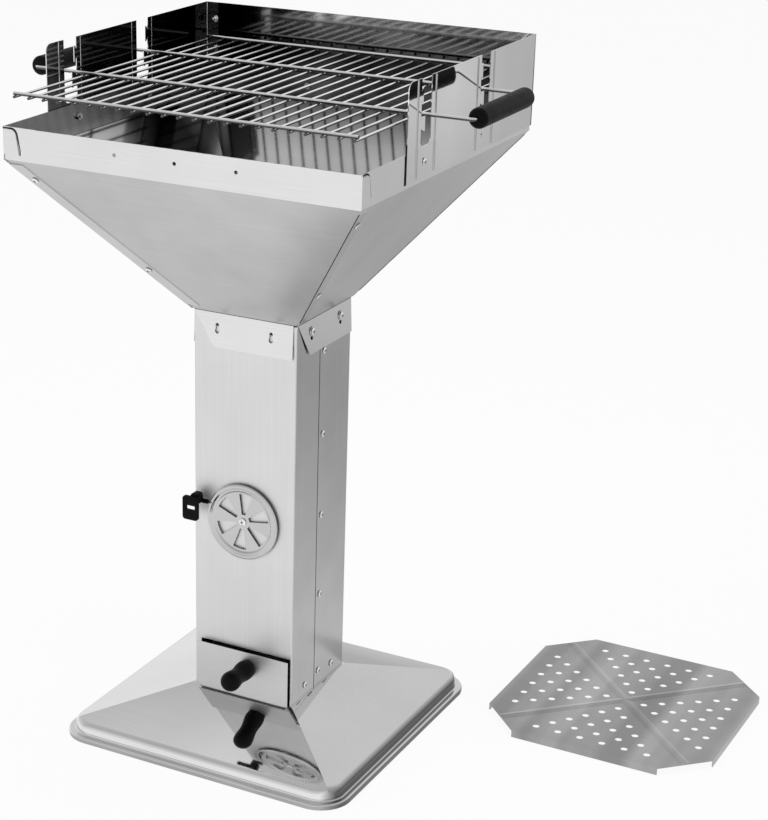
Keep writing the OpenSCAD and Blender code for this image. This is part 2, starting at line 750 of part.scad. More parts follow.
module funnel_panel() {
  over = level_t;
  difference() {
    union() {
      on_slope() translate([0, 0, -sheet_t]) linear_extrude(sheet_t) polygon([
        [-fun_low_half + plain_edge_in, 0], [fun_low_half + over, 0],
        [rim_half + over, slope_l], [-rim_half + plain_edge_in, slope_l]]);
      translate([-rim_half + sheet_t + sheet_gap, -rim_half, rim_low_z])
        cube([2 * rim_half - sheet_gap, sheet_t, rim_top_z - rim_low_z]);
      // tab of the rim, bent round the corner on to the next panel
      translate([rim_half, -rim_half, 0]) rotate([quarter, 0, quarter]) linear_extrude(sheet_t) rim_tab();
      // flange of the slope, bent round the corner on to the next panel
      rotate([0, 0, quarter]) on_slope() linear_extrude(sheet_t) polygon([
        [-half_at(lap_low_v), lap_low_v], [-half_at(lap_top_v), lap_top_v],
        [lap_w - half_at(lap_top_v), lap_top_v], [lap_w - half_at(lap_low_v), lap_low_v]]);
      // collar tab outside the column
      translate([0, -fun_low_half, fun_low_z]) rotate([-tab_lean, 0, 0]) rotate([quarter, 0, 0])
        translate([0, -fun_low_z, -sheet_t]) linear_extrude(sheet_t) polygon([
        [tab_left[0], fun_low_z + sheet_t / 2], [tab_left[1], tab_low_z], [tab_right, tab_low_z],
        [tab_right, fun_low_z + sheet_t / 2]]);
    }
    for (x = [-rim_hole_x, 0, rim_hole_x]) {
      translate([x, -rim_half + sheet_t * 2, rim_hole_z]) rotate([quarter, 0, 0])
        cylinder(h = sheet_t * 3, r = hole_r);
    }
    // keyholes
    for (x = [-key_x, key_x]) {
      for (k = [0, 1]) {
        translate([x, -col_half + sheet_t / 2, key_z[k]]) rotate([quarter, 0, 0])
          cylinder(h = sheet_t * 5, r = key_r[k]);
      }
      translate([x - key_r[0], -col_half - sheet_t * 4, key_z[1]])
        cube([2 * key_r[0], sheet_t * 9 / 2, key_z[0] - key_z[1]]);
    }
    // holes for the lap screws, in this panel's flange and in its plain edge
    lap_screws_at(quarter) translate([0, 0, -screw_l]) cylinder(h = 2 * screw_l, r = hole_r);
    lap_screws_at(0) translate([0, 0, -screw_l]) cylinder(h = 2 * screw_l, r = hole_r);
  }
}

module funnel_front() {
  color("silver") funnel_panel();
}

module funnel_right() {
  color("silver") rotate([0, 0, quarter]) funnel_panel();
}

module funnel_back() {
  color("silver") rotate([0, 0, half_turn]) funnel_panel();
}

module funnel_left() {
  color("silver") rotate([0, 0, -quarter]) funnel_panel();
}

module funnel_lap_screws() {
  color("gainsboro") for (a = [0, quarter, half_turn, -quarter]) {
    lap_screws_at(a) screw(screw_l);
  }
}

// collar screws sit on the two sides and at the back; the front keyholes are left open
module collar_fixings() {
  for (a = [quarter, half_turn, -quarter]) {
    rotate([0, 0, a]) for (x = [-key_x, key_x]) {
      translate([x, -col_half, key_z[0]]) rotate([quarter, 0, 0]) children();
    }
  }
}

module collar_screws() {
  color("gainsboro") collar_fixings() translate([0, 0, tab_out + washer_size[1]])
    screw(tab_out + washer_size[1] + sheet_t + nut_size[1] + sheet_gap * 2);
}

module collar_washers() {
  color("gainsboro") collar_fixings() translate([0, 0, tab_out]) difference() {
    cylinder(h = washer_size[1] - eps, r = washer_size[0]);
    translate([0, 0, -eps]) cylinder(h = cut, r = screw_r + sheet_gap / 2);
  }
}

module collar_nuts() {
  color("gainsboro") collar_fixings() translate([0, 0, -sheet_t - nut_size[1] - eps]) nut();
}

// outline of a side windshield with two slots, drawn with y across and z up
module ws_outline(front, root, open_dir) {
  rear = rim_half - sheet_t;
  difference() {
    union() {
      difference() {
        translate([front, ws_low_z]) square([rear - front, ws_top_z - ws_low_z]);
        translate([front - eps, ws_top_z - ws_corner_r]) square([ws_corner_r + eps, ws_corner_r + eps]);
      }
      translate([front + ws_corner_r, ws_top_z - ws_corner_r]) circle(ws_corner_r);
      // upper strip that runs to the back panel above the rim
      translate([rear - eps, slot_low_z]) square([sheet_t * 3 / 2, ws_top_z - slot_low_z]);
    }
    for (r = root) {
      end_r = slot_w / 4;
      low = open_dir > 0 ? r : r - slot_w;
      translate([low, slot_low_z + end_r]) square([slot_w, cut * 3]);
      translate([low + end_r, slot_low_z]) square([slot_w - 2 * end_r, cut]);
      for (x = [low + end_r, low + slot_w - end_r]) {
        translate([x, slot_low_z + end_r]) circle(end_r);
      }
    }
  }
  for (r = root) {
    translate([r, 0]) mirror([open_dir > 0 ? 0 : 1, 0]) {
      tooth(tooth_low_l, rest_z);
      tooth(tooth_up_l, rest_z + tooth_pitch);
    }
  }
}

// one rest tooth: its root on x = 0, its seat at the given height
module tooth(l, top) {
  seat_end = l - tooth_lip_w;
  root_top = top - tooth_drop;
  root_low = root_top - tooth_h[0];
  polygon([[-sheet_t, root_low], [0, root_low], [l, top - tooth_h[1]], [l, top + tooth_lip_h],
    [seat_end, top + tooth_lip_h], [seat_end - tooth_lip_h / 4, top], [l / 3, top],
    [0, root_top], [-sheet_t, root_top]]);
}

module ws_side(front, root, open_dir) {
  // built with its inner face on x = 0 and its thickness towards +X
  difference() {
    union() {
      rotate([quarter, 0, quarter]) linear_extrude(sheet_t) ws_outline(front, root, open_dir);
      for (r = root) {
        low = open_dir > 0 ? r : r - slot_w;
        for (y = [low - bead_off, low + slot_w + bead_off]) {
          translate([sheet_t - bead_r / 4, y, rim_top_z + sheet_t])
            cylinder(h = ws_top_z - rim_top_z - 2 * sheet_t, r = bead_r);
          translate([sheet_t, y, ws_low_z + 2 * sheet_t]) intersection() {
            cylinder(h = rim_top_z - ws_low_z, r = bead_r);
            translate([-sheet_t / 2, -cut / 2, 0]) cube([cut, cut, cut]);
          }
        }
      }
      // rear flange in front of the back panel
      translate([sheet_t - ws_flange_l, rim_half, rim_top_z + 2 * sheet_t])
        cube([ws_flange_l, sheet_t, ws_top_z - rim_top_z - 2 * sheet_t]);
    }
    for (y = [-rim_hole_x, rim_hole_x]) {
      translate([-cut / 2, y, rim_hole_z]) rotate([0, quarter, 0]) cylinder(h = cut, r = hole_r);
    }
  }
}

module ws_bolt_holes() {
  for (x = [-ws_bolt_x, ws_bolt_x]) {
    for (z = ws_bolt_z) {
      translate([x, rim_half + cut / 2, z]) rotate([quarter, 0, 0]) cylinder(h = cut, r = hole_r);
    }
  }
}

module windshield_right() {
  color("silver") difference() {
    translate([rim_half, 0, 0]) ws_side(ws_right_y, right_root, 1);
    ws_bolt_holes();
  }
}

module windshield_left() {
  color("silver") difference() {
    mirror([1, 0, 0]) translate([rim_half + sheet_t, 0, 0]) ws_side(ws_left_y, left_root, -1);
    ws_bolt_holes();
  }
}

module windshield_back() {
  color("silver") difference() {
    translate([ws_left_x - sheet_t, rim_half + sheet_t, ws_low_z])
      cube([2 * rim_half + 3 * sheet_t, sheet_t, ws_top_z - ws_low_z]);
    for (x = [-rim_hole_x, rim_hole_x]) {
      translate([x, rim_half + cut / 2, rim_hole_z]) rotate([quarter, 0, 0])
        cylinder(h = cut, r = hole_r);
    }
    ws_bolt_holes();
  }
}

// each rim bolt's turn round Z, its place along the rim and how far its head sits off the rim
rim_bolt_places = [
  [quarter, -rim_hole_x, sheet_t],
  [-quarter, rim_hole_x, 2 * sheet_t],
  [-quarter, -rim_hole_x, 2 * sheet_t],
  [half_turn, -rim_hole_x, 2 * sheet_t],
  [half_turn, rim_hole_x, 2 * sheet_t]];

module rim_bolts() {
  color("gainsboro") for (p = rim_bolt_places) {
    rotate([0, 0, p[0]]) translate([p[1], -rim_half - p[2], rim_hole_z])
      rotate([quarter, 0, 0]) screw(bolt_l);
  }
}

module rim_nuts() {
  color("gainsboro") for (p = rim_bolt_places) {
    rotate([0, 0, p[0]]) translate([p[1], -rim_half + sheet_t + eps, rim_hole_z])
      rotate([-quarter, 0, 0]) nut();
  }
}

module corner_bolts() {
  color("gainsboro") for (x = [-ws_bolt_x, ws_bolt_x]) {
    for (z = ws_bolt_z) {
      translate([x, rim_half + 2 * sheet_t, z]) rotate([-quarter, 0, 0]) screw(bolt_l);
    }
  }
}

module corner_nuts() {
  color("gainsboro") for (x = [-ws_bolt_x, ws_bolt_x]) {
    for (z = ws_bolt_z) {
      translate([x, rim_half - eps, z]) rotate([quarter, 0, 0]) nut();
    }
  }
}

module ring_corner(x, y, a) {
  translate([x, y, grid_z]) rotate([0, 0, a]) rotate_extrude(angle = quarter)
    translate([ring_bend_r, 0]) circle(wire_r);
}

module grid_ring() {
  bx = grip_x - ring_bend_r;
  by = [wire_y[1] + ring_bend_r, wire_y[2] - ring_bend_r];
  color("gainsboro") translate([grid_x, 0, 0]) {
    for (y = [wire_y[1], wire_y[2]]) {
      translate([-bx, y, grid_z]) rotate([0, quarter, 0]) cylinder(h = 2 * bx, r = wire_r);
    }
    for (x = [-grip_x, grip_x]) {
      translate([x, by[1], grid_z]) rotate([quarter, 0, 0]) cylinder(h = by[1] - by[0], r = wire_r);
    }
    ring_corner(bx, by[1], 0);
    ring_corner(-bx, by[1], quarter);
    ring_corner(-bx, by[0], half_turn);
    ring_corner(bx, by[0], -quarter);
  }
}

module grid_end_wires() {
  color("gainsboro") for (y = [wire_y[0], wire_y[3]]) {
    translate([grid_x - end_wire_half, y, grid_z]) rotate([0, quarter, 0])
      cylinder(h = 2 * end_wire_half, r = wire_r);
  }
}

module grid_cross_wires() {
  first = grid_x - cross_pitch * (cross_count - 1) / 2;
  color("gainsboro") for (k = [0 : cross_count - 1]) {
    translate([first + k * cross_pitch, wire_y[3] + cross_over, cross_z]) rotate([quarter, 0, 0])
      cylinder(h = wire_y[3] - wire_y[0] + 2 * cross_over, r = cross_r);
  }
}

module grip(x) {
  l = grip_y[1] - grip_y[0];
  bore = wire_r + grip_play;
  color("black") translate([x, grip_y[1], grid_z]) rotate([quarter, 0, 0]) rotate_extrude() difference() {
    union() {
      translate([0, grip_round_r]) square([grip_r, l - 2 * grip_round_r]);
      square([grip_r - grip_round_r, l]);
      for (z = [grip_round_r, l - grip_round_r]) {
        translate([grip_r - grip_round_r, z]) circle(grip_round_r);
      }
    }
    translate([-cut, -eps]) square([cut + bore, l + 2 * eps]);
  }
}

module grip_left() {
  grip(grid_x - grip_x);
}

module grip_right() {
  grip(grid_x + grip_x);
}

module plate_field() {
  for (r = [1 : plate_rows]) {
    dist = plate_half * (plate_first_share + (r - 1) * plate_row_share);
    for (k = [0 : r - 1]) {
      translate([plate_half * plate_pitch_share * (k - (r - 1) / 2), dist]) circle(plate_hole_r, $fn = 24);
    }
  }
}

module charcoal_plate() {
  flat = plate_half - plate_cut;
  bar_l = flat * sqrt(2);
  color("silver") translate([plate_pos[0], plate_pos[1], 0]) {
    difference() {
      union() {
        translate([0, 0, plate_lip_h]) linear_extrude(sheet_t) polygon([
          [-flat, -plate_half], [flat, -plate_half], [plate_half, -flat], [plate_half, flat],
          [flat, plate_half], [-flat, plate_half], [-plate_half, flat], [-plate_half, -flat]]);
        for (a = [0, quarter, half_turn, -quarter]) {
          rotate([0, 0, a]) translate([-flat, -plate_half, 0]) cube([2 * flat, sheet_t, plate_lip_h + eps]);
        }
        // pressed cross
        for (a = [diag, diag + quarter]) {
          rotate([0, 0, a]) translate([-bar_l, 0, plate_lip_h + sheet_t]) rotate([quarter, 0, quarter])
            linear_extrude(2 * bar_l) polygon([[-crease_w / 2, -eps], [crease_w / 2, -eps], [0, crease_h]]);
        }
      }
      for (a = [0, quarter, half_turn, -quarter]) {
        rotate([0, 0, a]) translate([0, 0, plate_lip_h / 2]) linear_extrude(cut) plate_field();
      }
    }
  }
}

base_pan();
column_front();
column_rear();
column_seam_screws();
foot_screws();
vent_disc();
vent_pivot();
vent_grip();
ash_tray();
drawer_front();
drawer_knob();
drawer_knob_screw();
funnel_front();
funnel_right();
funnel_back();
funnel_left();
funnel_lap_screws();
collar_screws();
collar_washers();
collar_nuts();
windshield_left();
windshield_back();
windshield_right();
rim_bolts();
rim_nuts();
corner_bolts();
corner_nuts();
grid_ring();
grid_end_wires();
grid_cross_wires();
grip_left();
grip_right();
charcoal_plate();
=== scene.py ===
import json
import math

import bmesh
import bpy
from mathutils import Matrix, Vector

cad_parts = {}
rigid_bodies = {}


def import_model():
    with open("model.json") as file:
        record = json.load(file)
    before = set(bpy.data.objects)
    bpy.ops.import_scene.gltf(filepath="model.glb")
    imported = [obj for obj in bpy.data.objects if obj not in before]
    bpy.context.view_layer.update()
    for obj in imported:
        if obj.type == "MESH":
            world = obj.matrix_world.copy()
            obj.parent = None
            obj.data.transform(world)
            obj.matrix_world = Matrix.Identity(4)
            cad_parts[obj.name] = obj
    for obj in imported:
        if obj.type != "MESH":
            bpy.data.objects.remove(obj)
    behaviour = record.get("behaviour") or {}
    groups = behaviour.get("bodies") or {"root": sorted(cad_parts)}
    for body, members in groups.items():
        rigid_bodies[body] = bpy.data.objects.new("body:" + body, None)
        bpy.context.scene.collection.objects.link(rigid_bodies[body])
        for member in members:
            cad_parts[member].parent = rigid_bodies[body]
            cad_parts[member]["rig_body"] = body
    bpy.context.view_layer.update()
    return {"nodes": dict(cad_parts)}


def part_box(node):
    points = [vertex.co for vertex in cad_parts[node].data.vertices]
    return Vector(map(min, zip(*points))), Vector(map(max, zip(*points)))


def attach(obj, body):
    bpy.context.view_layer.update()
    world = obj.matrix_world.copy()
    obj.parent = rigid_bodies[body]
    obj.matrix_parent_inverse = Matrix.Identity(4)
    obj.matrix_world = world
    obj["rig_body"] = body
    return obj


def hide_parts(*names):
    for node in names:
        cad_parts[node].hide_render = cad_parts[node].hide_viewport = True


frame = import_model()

MM = 0.001
QUARTER = math.pi / 2
nodes = frame["nodes"]


# Node trees

class Tree:
    """A node tree that is filled by short calls."""

    def __init__(self, tree):
        self.tree = tree
        tree.nodes.clear()

    def add(self, kind, **settings):
        node = self.tree.nodes.new(kind)
        for key, value in settings.items():
            setattr(node, key, value)
        return node

    def link(self, source, target):
        self.tree.links.new(source, target)

    def math(self, operation, *values):
        node = self.add("ShaderNodeMath", operation=operation)
        for socket, value in zip(node.inputs, values):
            if isinstance(value, (int, float)):
                socket.default_value = value
            else:
                self.link(value, socket)
        return node.outputs[0]

    def ramp(self, factor, *stops):
        """A grey or a colour by the factor, from stops of a place and a level."""
        node = self.add("ShaderNodeValToRGB")
        elements = node.color_ramp.elements
        while len(elements) < len(stops):
            elements.new(0.5)
        for element, (place, level) in zip(elements, stops):
            element.position = place
            colour = (level,) * 3 if isinstance(level, (int, float)) else level
            element.color = (*colour, 1)
        self.link(factor, node.inputs["Fac"])
        return node.outputs["Color"]

    def noise(self, vector, scale, detail=2.0, roughness=0.5):
        node = self.add("ShaderNodeTexNoise")
        node.inputs["Scale"].default_value = scale
        node.inputs["Detail"].default_value = detail
        node.inputs["Roughness"].default_value = roughness
        self.link(vector, node.inputs["Vector"])
        return node.outputs["Fac"]

    def stretched(self, vector, scale):
        node = self.add("ShaderNodeMapping")
        node.inputs["Scale"].default_value = scale
        self.link(vector, node.inputs["Vector"])
        return node.outputs["Vector"]

    def parts(self, vector):
        """The outputs X, Y and Z of a vector."""
        node = self.add("ShaderNodeSeparateXYZ")
        self.link(vector, node.inputs[0])
        return node.outputs

    def normal(self):
        return self.add("ShaderNodeNewGeometry").outputs["Normal"]

    def along(self, vector, axis, *stops):
        """A level that changes along one axis, by places in mm."""
        low, high = stops[0][0], stops[-1][0]
        above = self.math("SUBTRACT", self.parts(vector)[axis], low * MM)
        share = self.math("DIVIDE", above, (high - low) * MM)
        return self.ramp(share, *(((place - low) / (high - low), level) for place, level in stops))

    def times(self, one, two):
        node = self.add("ShaderNodeMix", data_type="RGBA", blend_type="MULTIPLY")
        node.inputs["Factor"].default_value = 1.0
        self.link(one, node.inputs["A"])
        self.link(two, node.inputs["B"])
        return node.outputs["Result"]

    def bump(self, height, strength, distance, normal=None):
        node = self.add("ShaderNodeBump")
        node.inputs["Strength"].default_value = strength
        node.inputs["Distance"].default_value = distance
        self.link(height, node.inputs["Height"])
        if normal is not None:
            self.link(normal, node.inputs["Normal"])
        return node.outputs["Normal"]

    def blend(self, share, one, two):
        """Two shaders, from the first to the second by a share."""
        node = self.add("ShaderNodeMixShader")
        for source, socket in zip((share, one, two), node.inputs):
            self.link(source, socket)
        return node.outputs[0]


# Materials

GRAIN_X = (6.0, 900.0, 900.0)
GRAIN_Z = (900.0, 900.0, 6.0)
BANDS = (26.0, 0.4, 0.4)
CLOUD_SCALE, SPECK_SCALE, WAVE_SCALE = 7.0, 900.0, 5.0
WAVE_HEIGHT, FINE_HEIGHT = 2.0 * MM, 0.02 * MM
SPECK_STRENGTH, LINE_STRENGTH = 0.05, 0.08
COOL = (0.995, 0.998, 1.0)


def new_material(name):
    material = bpy.data.materials.new(name)
    material.use_nodes = True
    tree = Tree(material.node_tree)
    place = tree.add("ShaderNodeTexCoord").outputs["Object"]
    shader = tree.add("ShaderNodeBsdfPrincipled")
    output = tree.add("ShaderNodeOutputMaterial")
    tree.link(shader.outputs["BSDF"], output.inputs["Surface"])
    return material, tree, place, shader


def leaning_normal(tree, lean):
    """The surface normal of a sheet that bows slightly in the given direction."""
    node = tree.add("ShaderNodeVectorMath", operation="ADD")
    tree.link(tree.normal(), node.inputs[0])
    node.inputs[1].default_value = lean
    unit = tree.add("ShaderNodeVectorMath", operation="NORMALIZE")
    tree.link(node.outputs[0], unit.inputs[0])
    return unit.outputs[0]


def steel(name, tone, gloss, grain, wave=0.25, dust=0.03, lean=None, right_shade=None, painted_light=(),
          bands=None):
    """Rolled stainless sheet: a faint grain along one direction, cloudy polish and slightly wavy.

    tone is the darkest and the brightest grey, gloss the least roughness and dust what the grain
    adds to it. wave is the strength of the waves, and lean tips all normals a little. right_shade
    is the share of the tone that is left on faces that look to the right, as painted shade. soot
    lists an axis and places along it, with the factor on the tone at each, as painted light and
    shade along that axis. bands gives the darkest and the brightest share of wide bands across
    the sheet."""
    material, tree, place, shader = new_material(name)
    lines = tree.noise(tree.stretched(place, grain), 1.0, detail=3.0, roughness=0.6)
    clouds = tree.noise(place, CLOUD_SCALE, detail=3.0, roughness=0.55)
    specks = tree.noise(place, SPECK_SCALE, detail=1.0)
    low, high = tone
    tint = tree.ramp(clouds, (0.3, [low * share for share in COOL]), (0.7, high))
    colour = tree.times(tint, tree.ramp(lines, (0.35, 0.95), (0.65, 1.0)))
    # Painted shade: faces that look to the right are darker.
    if right_shade:
        shade = tree.ramp(tree.parts(tree.normal())["X"], (0.45, 1.0), (0.9, right_shade))
        colour = tree.times(colour, shade)
    if bands:
        rolls = tree.noise(tree.stretched(place, BANDS), 1.0, detail=1.0)
        colour = tree.times(colour, tree.ramp(rolls, (0.38, bands[0]), (0.62, bands[1])))
    # Painted light and shade: the tone rises or falls along an axis.
    for axis, *stops in painted_light:
        colour = tree.times(colour, tree.along(place, axis, *stops))
    tree.link(colour, shader.inputs["Base Color"])
    shader.inputs["Metallic"].default_value = 1.0
    rough = tree.ramp(lines, (0.3, gloss), (0.7, gloss + dust))
    tree.link(rough, shader.inputs["Roughness"])
    normal = leaning_normal(tree, lean) if lean else None
    swell = tree.noise(place, WAVE_SCALE, detail=1.0)
    waves = tree.bump(swell, wave, WAVE_HEIGHT, normal)
    fine = tree.bump(specks, SPECK_STRENGTH, FINE_HEIGHT, waves)
    tree.link(tree.bump(lines, LINE_STRENGTH, FINE_HEIGHT, fine), shader.inputs["Normal"])
    return material


column_steel = steel("column_steel", (0.74, 0.8), 0.48, GRAIN_Z)
# A darker copy of the column's steel for its faces that look to the right: painted shade.
column_side_shade = steel("column_side_shade", (0.52, 0.62), 0.18, GRAIN_Z)
rim_steel = steel("rim_steel", (0.74, 0.8), 0.2, GRAIN_X)
# The funnel's outer slopes, which face down, as darker copies of the rim's steel: painted shade.
# The left and right slopes are a little lighter.
funnel_steel = steel("funnel_steel", (0.5, 0.6), 0.24, GRAIN_X)
funnel_side = steel("funnel_side", (0.58, 0.68), 0.24, GRAIN_X)
vent_steel = steel("vent_steel", (0.54, 0.62), 0.2, GRAIN_X)
# Near black back for the disc's outer ring, so that the gap under it reads dark: painted shade.
vent_back_shade = steel("vent_back_shade", (0.05, 0.08), 0.3, GRAIN_X)
# The funnel's insides, darker than the rim outside: painted shade. The back and the left inside
# also rise and fall in tone along their length and height, darkest towards the top, as painted
# light and shade.
inner_steel = steel("inner_steel", (0.6, 0.68), 0.06, GRAIN_X)
inner_back_shade = steel("inner_back_shade", (0.66, 0.74), 0.06, GRAIN_X, painted_light=(
    ("X", (-210, 0.3), (-120, 1.0)),
    ("Z", (640, 1.1), (657, 0.9), (690, 0.25), (726, 0.2))))
inner_left_shade = steel("inner_left_shade", (0.66, 0.74), 0.06, GRAIN_X, painted_light=(
    ("Y", (-100, 1.1), (10, 0.5), (35, 0.2), (120, 0.2), (150, 0.75)),
    ("Z", (684, 1.0), (705, 0.5))))
screen_steel = steel("screen_steel", (0.78, 0.84), 0.07, GRAIN_X)
# The right windshield's outside, brighter towards the front and darker towards the back: painted
# light and shade.
screen_mirror = steel("screen_mirror", (0.78, 0.84), 0.035, GRAIN_X, wave=0.1,
                      lean=(0, -0.164, -0.143),
                      painted_light=(("Y", (-110, 1.18), (-10, 1.16), (140, 0.88)),))
# The windshields' insides, much darker than their outsides: painted shade. The back one is darkest
# at its left end and low down, the left one towards the back.
screen_inside_shade = steel("screen_inside_shade", (0.26, 0.36), 0.06, GRAIN_X)
screen_back_shade = steel("screen_back_shade", (0.55, 0.64), 0.06, GRAIN_X, painted_light=(
    ("X", (-165, 0.03), (-100, 0.8), (-60, 1.0)),
    ("Z", (735, 0.12), (752, 0.05), (797, 1.0))))
screen_left_shade = steel("screen_left_shade", (0.26, 0.36), 0.06, GRAIN_X, painted_light=(
    ("Y", (-130, 0.7), (-45, 0.06), (10, 0.03)),))
bead_steel = steel("bead_steel", (0.44, 0.5), 0.4, GRAIN_Z)
drawer_steel = steel("drawer_steel", (0.66, 0.74), 0.44, GRAIN_X)
# Faces that look to the right are darker: painted shade.
foot_steel = steel("foot_steel", (0.74, 0.8), 0.025, GRAIN_X, wave=0.06, dust=0.02,
                   right_shade=0.14)
# The front slope, lighter than the rest and brighter towards the front and the right: painted
# light.
foot_front_lit = steel("foot_front_lit", (0.86, 0.92), 0.025, GRAIN_X, wave=0.06, dust=0.02,
                   lean=(0.012, -0.055, 0),
                   painted_light=(("Y", (-172, 1.14), (-70, 0.9)), ("X", (-170, 0.82), (30, 1.0))))
# The lip's upright edge, darker still on its right side: painted shade.
foot_lip_shade = steel("foot_lip_shade", (0.34, 0.44), 0.12, GRAIN_X, wave=0.06, right_shade=0.3)
# Darker than the other steel, so that the gaps round the drawer read dark: painted shade.
tray_steel = steel("tray_steel", (0.42, 0.5), 0.25, GRAIN_X, dust=0.1)
plate_steel = steel("plate_steel", (0.38, 0.48), 0.22, GRAIN_X, dust=0.08, bands=(0.78, 1.15))
# Near black steel for strips that stand where there is only shadow, and for the funnels' sheet
# edges: painted shade.
painted_shade_black = steel("painted_shade_black", (0.01, 0.02), 0.6, GRAIN_Z, wave=0.0)


def wire_chrome():
    """Bright plated wire, darker on its underside as painted shade."""
    material, tree, place, shader = new_material("wire_chrome")
    clouds = tree.noise(place, 60.0, detail=3.0)
    # Painted shade: faces that look down are darker.
    painted_underside_shade = tree.ramp(tree.parts(tree.normal())["Z"], (0.05, 0.1), (0.5, 1.0))
    plating = tree.ramp(clouds, (0.3, 0.9), (0.7, 0.97))
    tree.link(tree.times(plating, painted_underside_shade), shader.inputs["Base Color"])
    shader.inputs["Metallic"].default_value = 1.0
    tree.link(tree.ramp(clouds, (0.3, 0.1), (0.8, 0.18)), shader.inputs["Roughness"])
    return material


def black_plastic():
    """Black grips with a fine grain and little shine."""
    material, tree, place, shader = new_material("black_plastic")
    grains = tree.noise(place, 1400.0, detail=2.0)
    clouds = tree.noise(place, 90.0, detail=2.0)
    tree.link(tree.ramp(clouds, (0.3, 0.002), (0.7, 0.005)), shader.inputs["Base Color"])
    tree.link(tree.ramp(clouds, (0.3, 0.4), (0.7, 0.5)), shader.inputs["Roughness"])
    shader.inputs["IOR"].default_value = 1.25
    shader.inputs["Specular IOR Level"].default_value = 0.25
    tree.link(tree.bump(grains, 0.25, 0.05 * MM), shader.inputs["Normal"])
    return material


def bolt_steel():
    """Bright screws with painted shade where their heads meet the sheet, from ambient occlusion.
    """
    material, tree, place, shader = new_material("bolt_steel")
    nearby = tree.add("ShaderNodeAmbientOcclusion", samples=8)
    nearby.inputs["Distance"].default_value = 2.5 * MM
    clouds = tree.noise(place, 300.0, detail=2.0)
    shade = tree.ramp(nearby.outputs["AO"], (0.45, 0.03), (0.85, 0.9))
    polish = tree.ramp(clouds, (0.3, 0.85), (0.7, 1.0))
    tree.link(tree.times(shade, polish), shader.inputs["Base Color"])
    shader.inputs["Metallic"].default_value = 1.0
    shader.inputs["Roughness"].default_value = 0.12
    return material


chrome = wire_chrome()
plastic = black_plastic()
bright_bolt = bolt_steel()


# Helpers for meshes

WELD = 0.002 * MM
FLAT_ANGLE = math.radians(0.6)


def new_piece(name, mesh, materials, body, *replaced):
    """Puts a finished mesh on its body, in place of the CAD nodes that it stands for."""
    piece = bpy.data.objects.new(name, mesh)
    bpy.context.scene.collection.objects.link(piece)
    for material in materials:
        mesh.materials.append(material)
    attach(piece, body)
    if replaced:
        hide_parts(*replaced)
    return piece


def finished(bm, name, smooth_angle=30.0):
    """The bmesh as a mesh whose faces are smooth up to the given angle."""
    mesh = bpy.data.meshes.new(name)
    bmesh.ops.recalc_face_normals(bm, faces=bm.faces)
    for face in bm.faces:
        face.smooth = True
    limit = math.radians(smooth_angle)
    for edge in bm.edges:
        edge.smooth = len(edge.link_faces) == 2 and edge.calc_face_angle(0) < limit
    bm.to_mesh(mesh)
    bm.free()
    return mesh


def even_shading(piece):
    """Lets wide faces set the normals, so that flat sheet stays flat beside its bends."""
    piece.modifiers.new("flat_sheet", "WEIGHTED_NORMAL").keep_sharp = True


def welded(node):
    """A CAD node's mesh with its vertices joined."""
    bm = bmesh.new()
    bm.from_mesh(nodes[node].data)
    bmesh.ops.remove_doubles(bm, verts=bm.verts, dist=WELD)
    return bm


def plain_faces(node):
    """A CAD node's mesh with the triangles of each flat face joined."""
    bm = welded(node)
    bmesh.ops.recalc_face_normals(bm, faces=bm.faces)
    bmesh.ops.dissolve_limit(bm, angle_limit=FLAT_ANGLE, verts=bm.verts, edges=bm.edges,
                             delimit=set())
    return bm


def round_edges(bm, edges, width, segments, clamp=False):
    bmesh.ops.bevel(bm, geom=edges, offset=width, offset_type="OFFSET", segments=segments,
                    profile=0.5, affect="EDGES", clamp_overlap=clamp)


def box_mesh(bm, low, high, turn=None):
    """Adds a box between two corners, turned by a matrix if one is given."""
    for vert in bmesh.ops.create_cube(bm, size=1)["verts"]:
        vert.co = Vector([low[i] + (high[i] - low[i]) * (vert.co[i] + 0.5) for i in range(3)])
        if turn:
            vert.co = turn @ vert.co


def quarter_turn(k):
    return Matrix.Rotation(k * QUARTER, 4, "Z")


# Bent sheets: the CAD sheets with round folds

SHEET, FOLD_OUTER, FOLD_STEPS = 1.0 * MM, 2.2 * MM, 5
LEAST_FOLD, MOST_FOLD = 0.3, 2.7
LONG_EDGE, WIDE_FACE = 4 * SHEET, 1.6 * SHEET


def is_bend(edge):
    """A long edge between two wide faces, where a sheet was folded."""
    if len(edge.link_faces) != 2 or edge.calc_length() < LONG_EDGE:
        return False
    if not LEAST_FOLD < edge.calc_face_angle(0) < MOST_FOLD:
        return False
    return all(2 * f.calc_area() / f.calc_perimeter() > WIDE_FACE for f in edge.link_faces)


def folded(node, materials, chooser):
    """A sheet-metal node with its folds rounded, as a press brake leaves them.

    The chooser takes a face and returns the number of its material."""
    bm = plain_faces(node)
    for convex, radius in ((True, FOLD_OUTER), (False, FOLD_OUTER - SHEET)):
        by_angle = {}
        for edge in [e for e in bm.edges if is_bend(e) and e.is_convex == convex]:
            by_angle.setdefault(round(edge.calc_face_angle(0), 1), []).append(edge)
        for angle, edges in by_angle.items():
            round_edges(bm, edges, radius * math.tan(angle / 2), FOLD_STEPS)
    bmesh.ops.recalc_face_normals(bm, faces=bm.faces)
    for face in bm.faces:
        face.material_index = chooser(face)
    name = node + "_sheet"
    mesh = finished(bm, name, smooth_angle=25.0)
    even_shading(new_piece(name, mesh, materials, nodes[node]["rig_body"], node))


# Which face of a sheet gets which material

FACING, SLOPING = 0.7, 0.3
LONG_SHEET_EDGE, THIN_SHEET_EDGE = 100 * MM, 1.3 * MM
BEAD_X = 211.1 * MM
X_AXIS, Y_AXIS = 0, 1


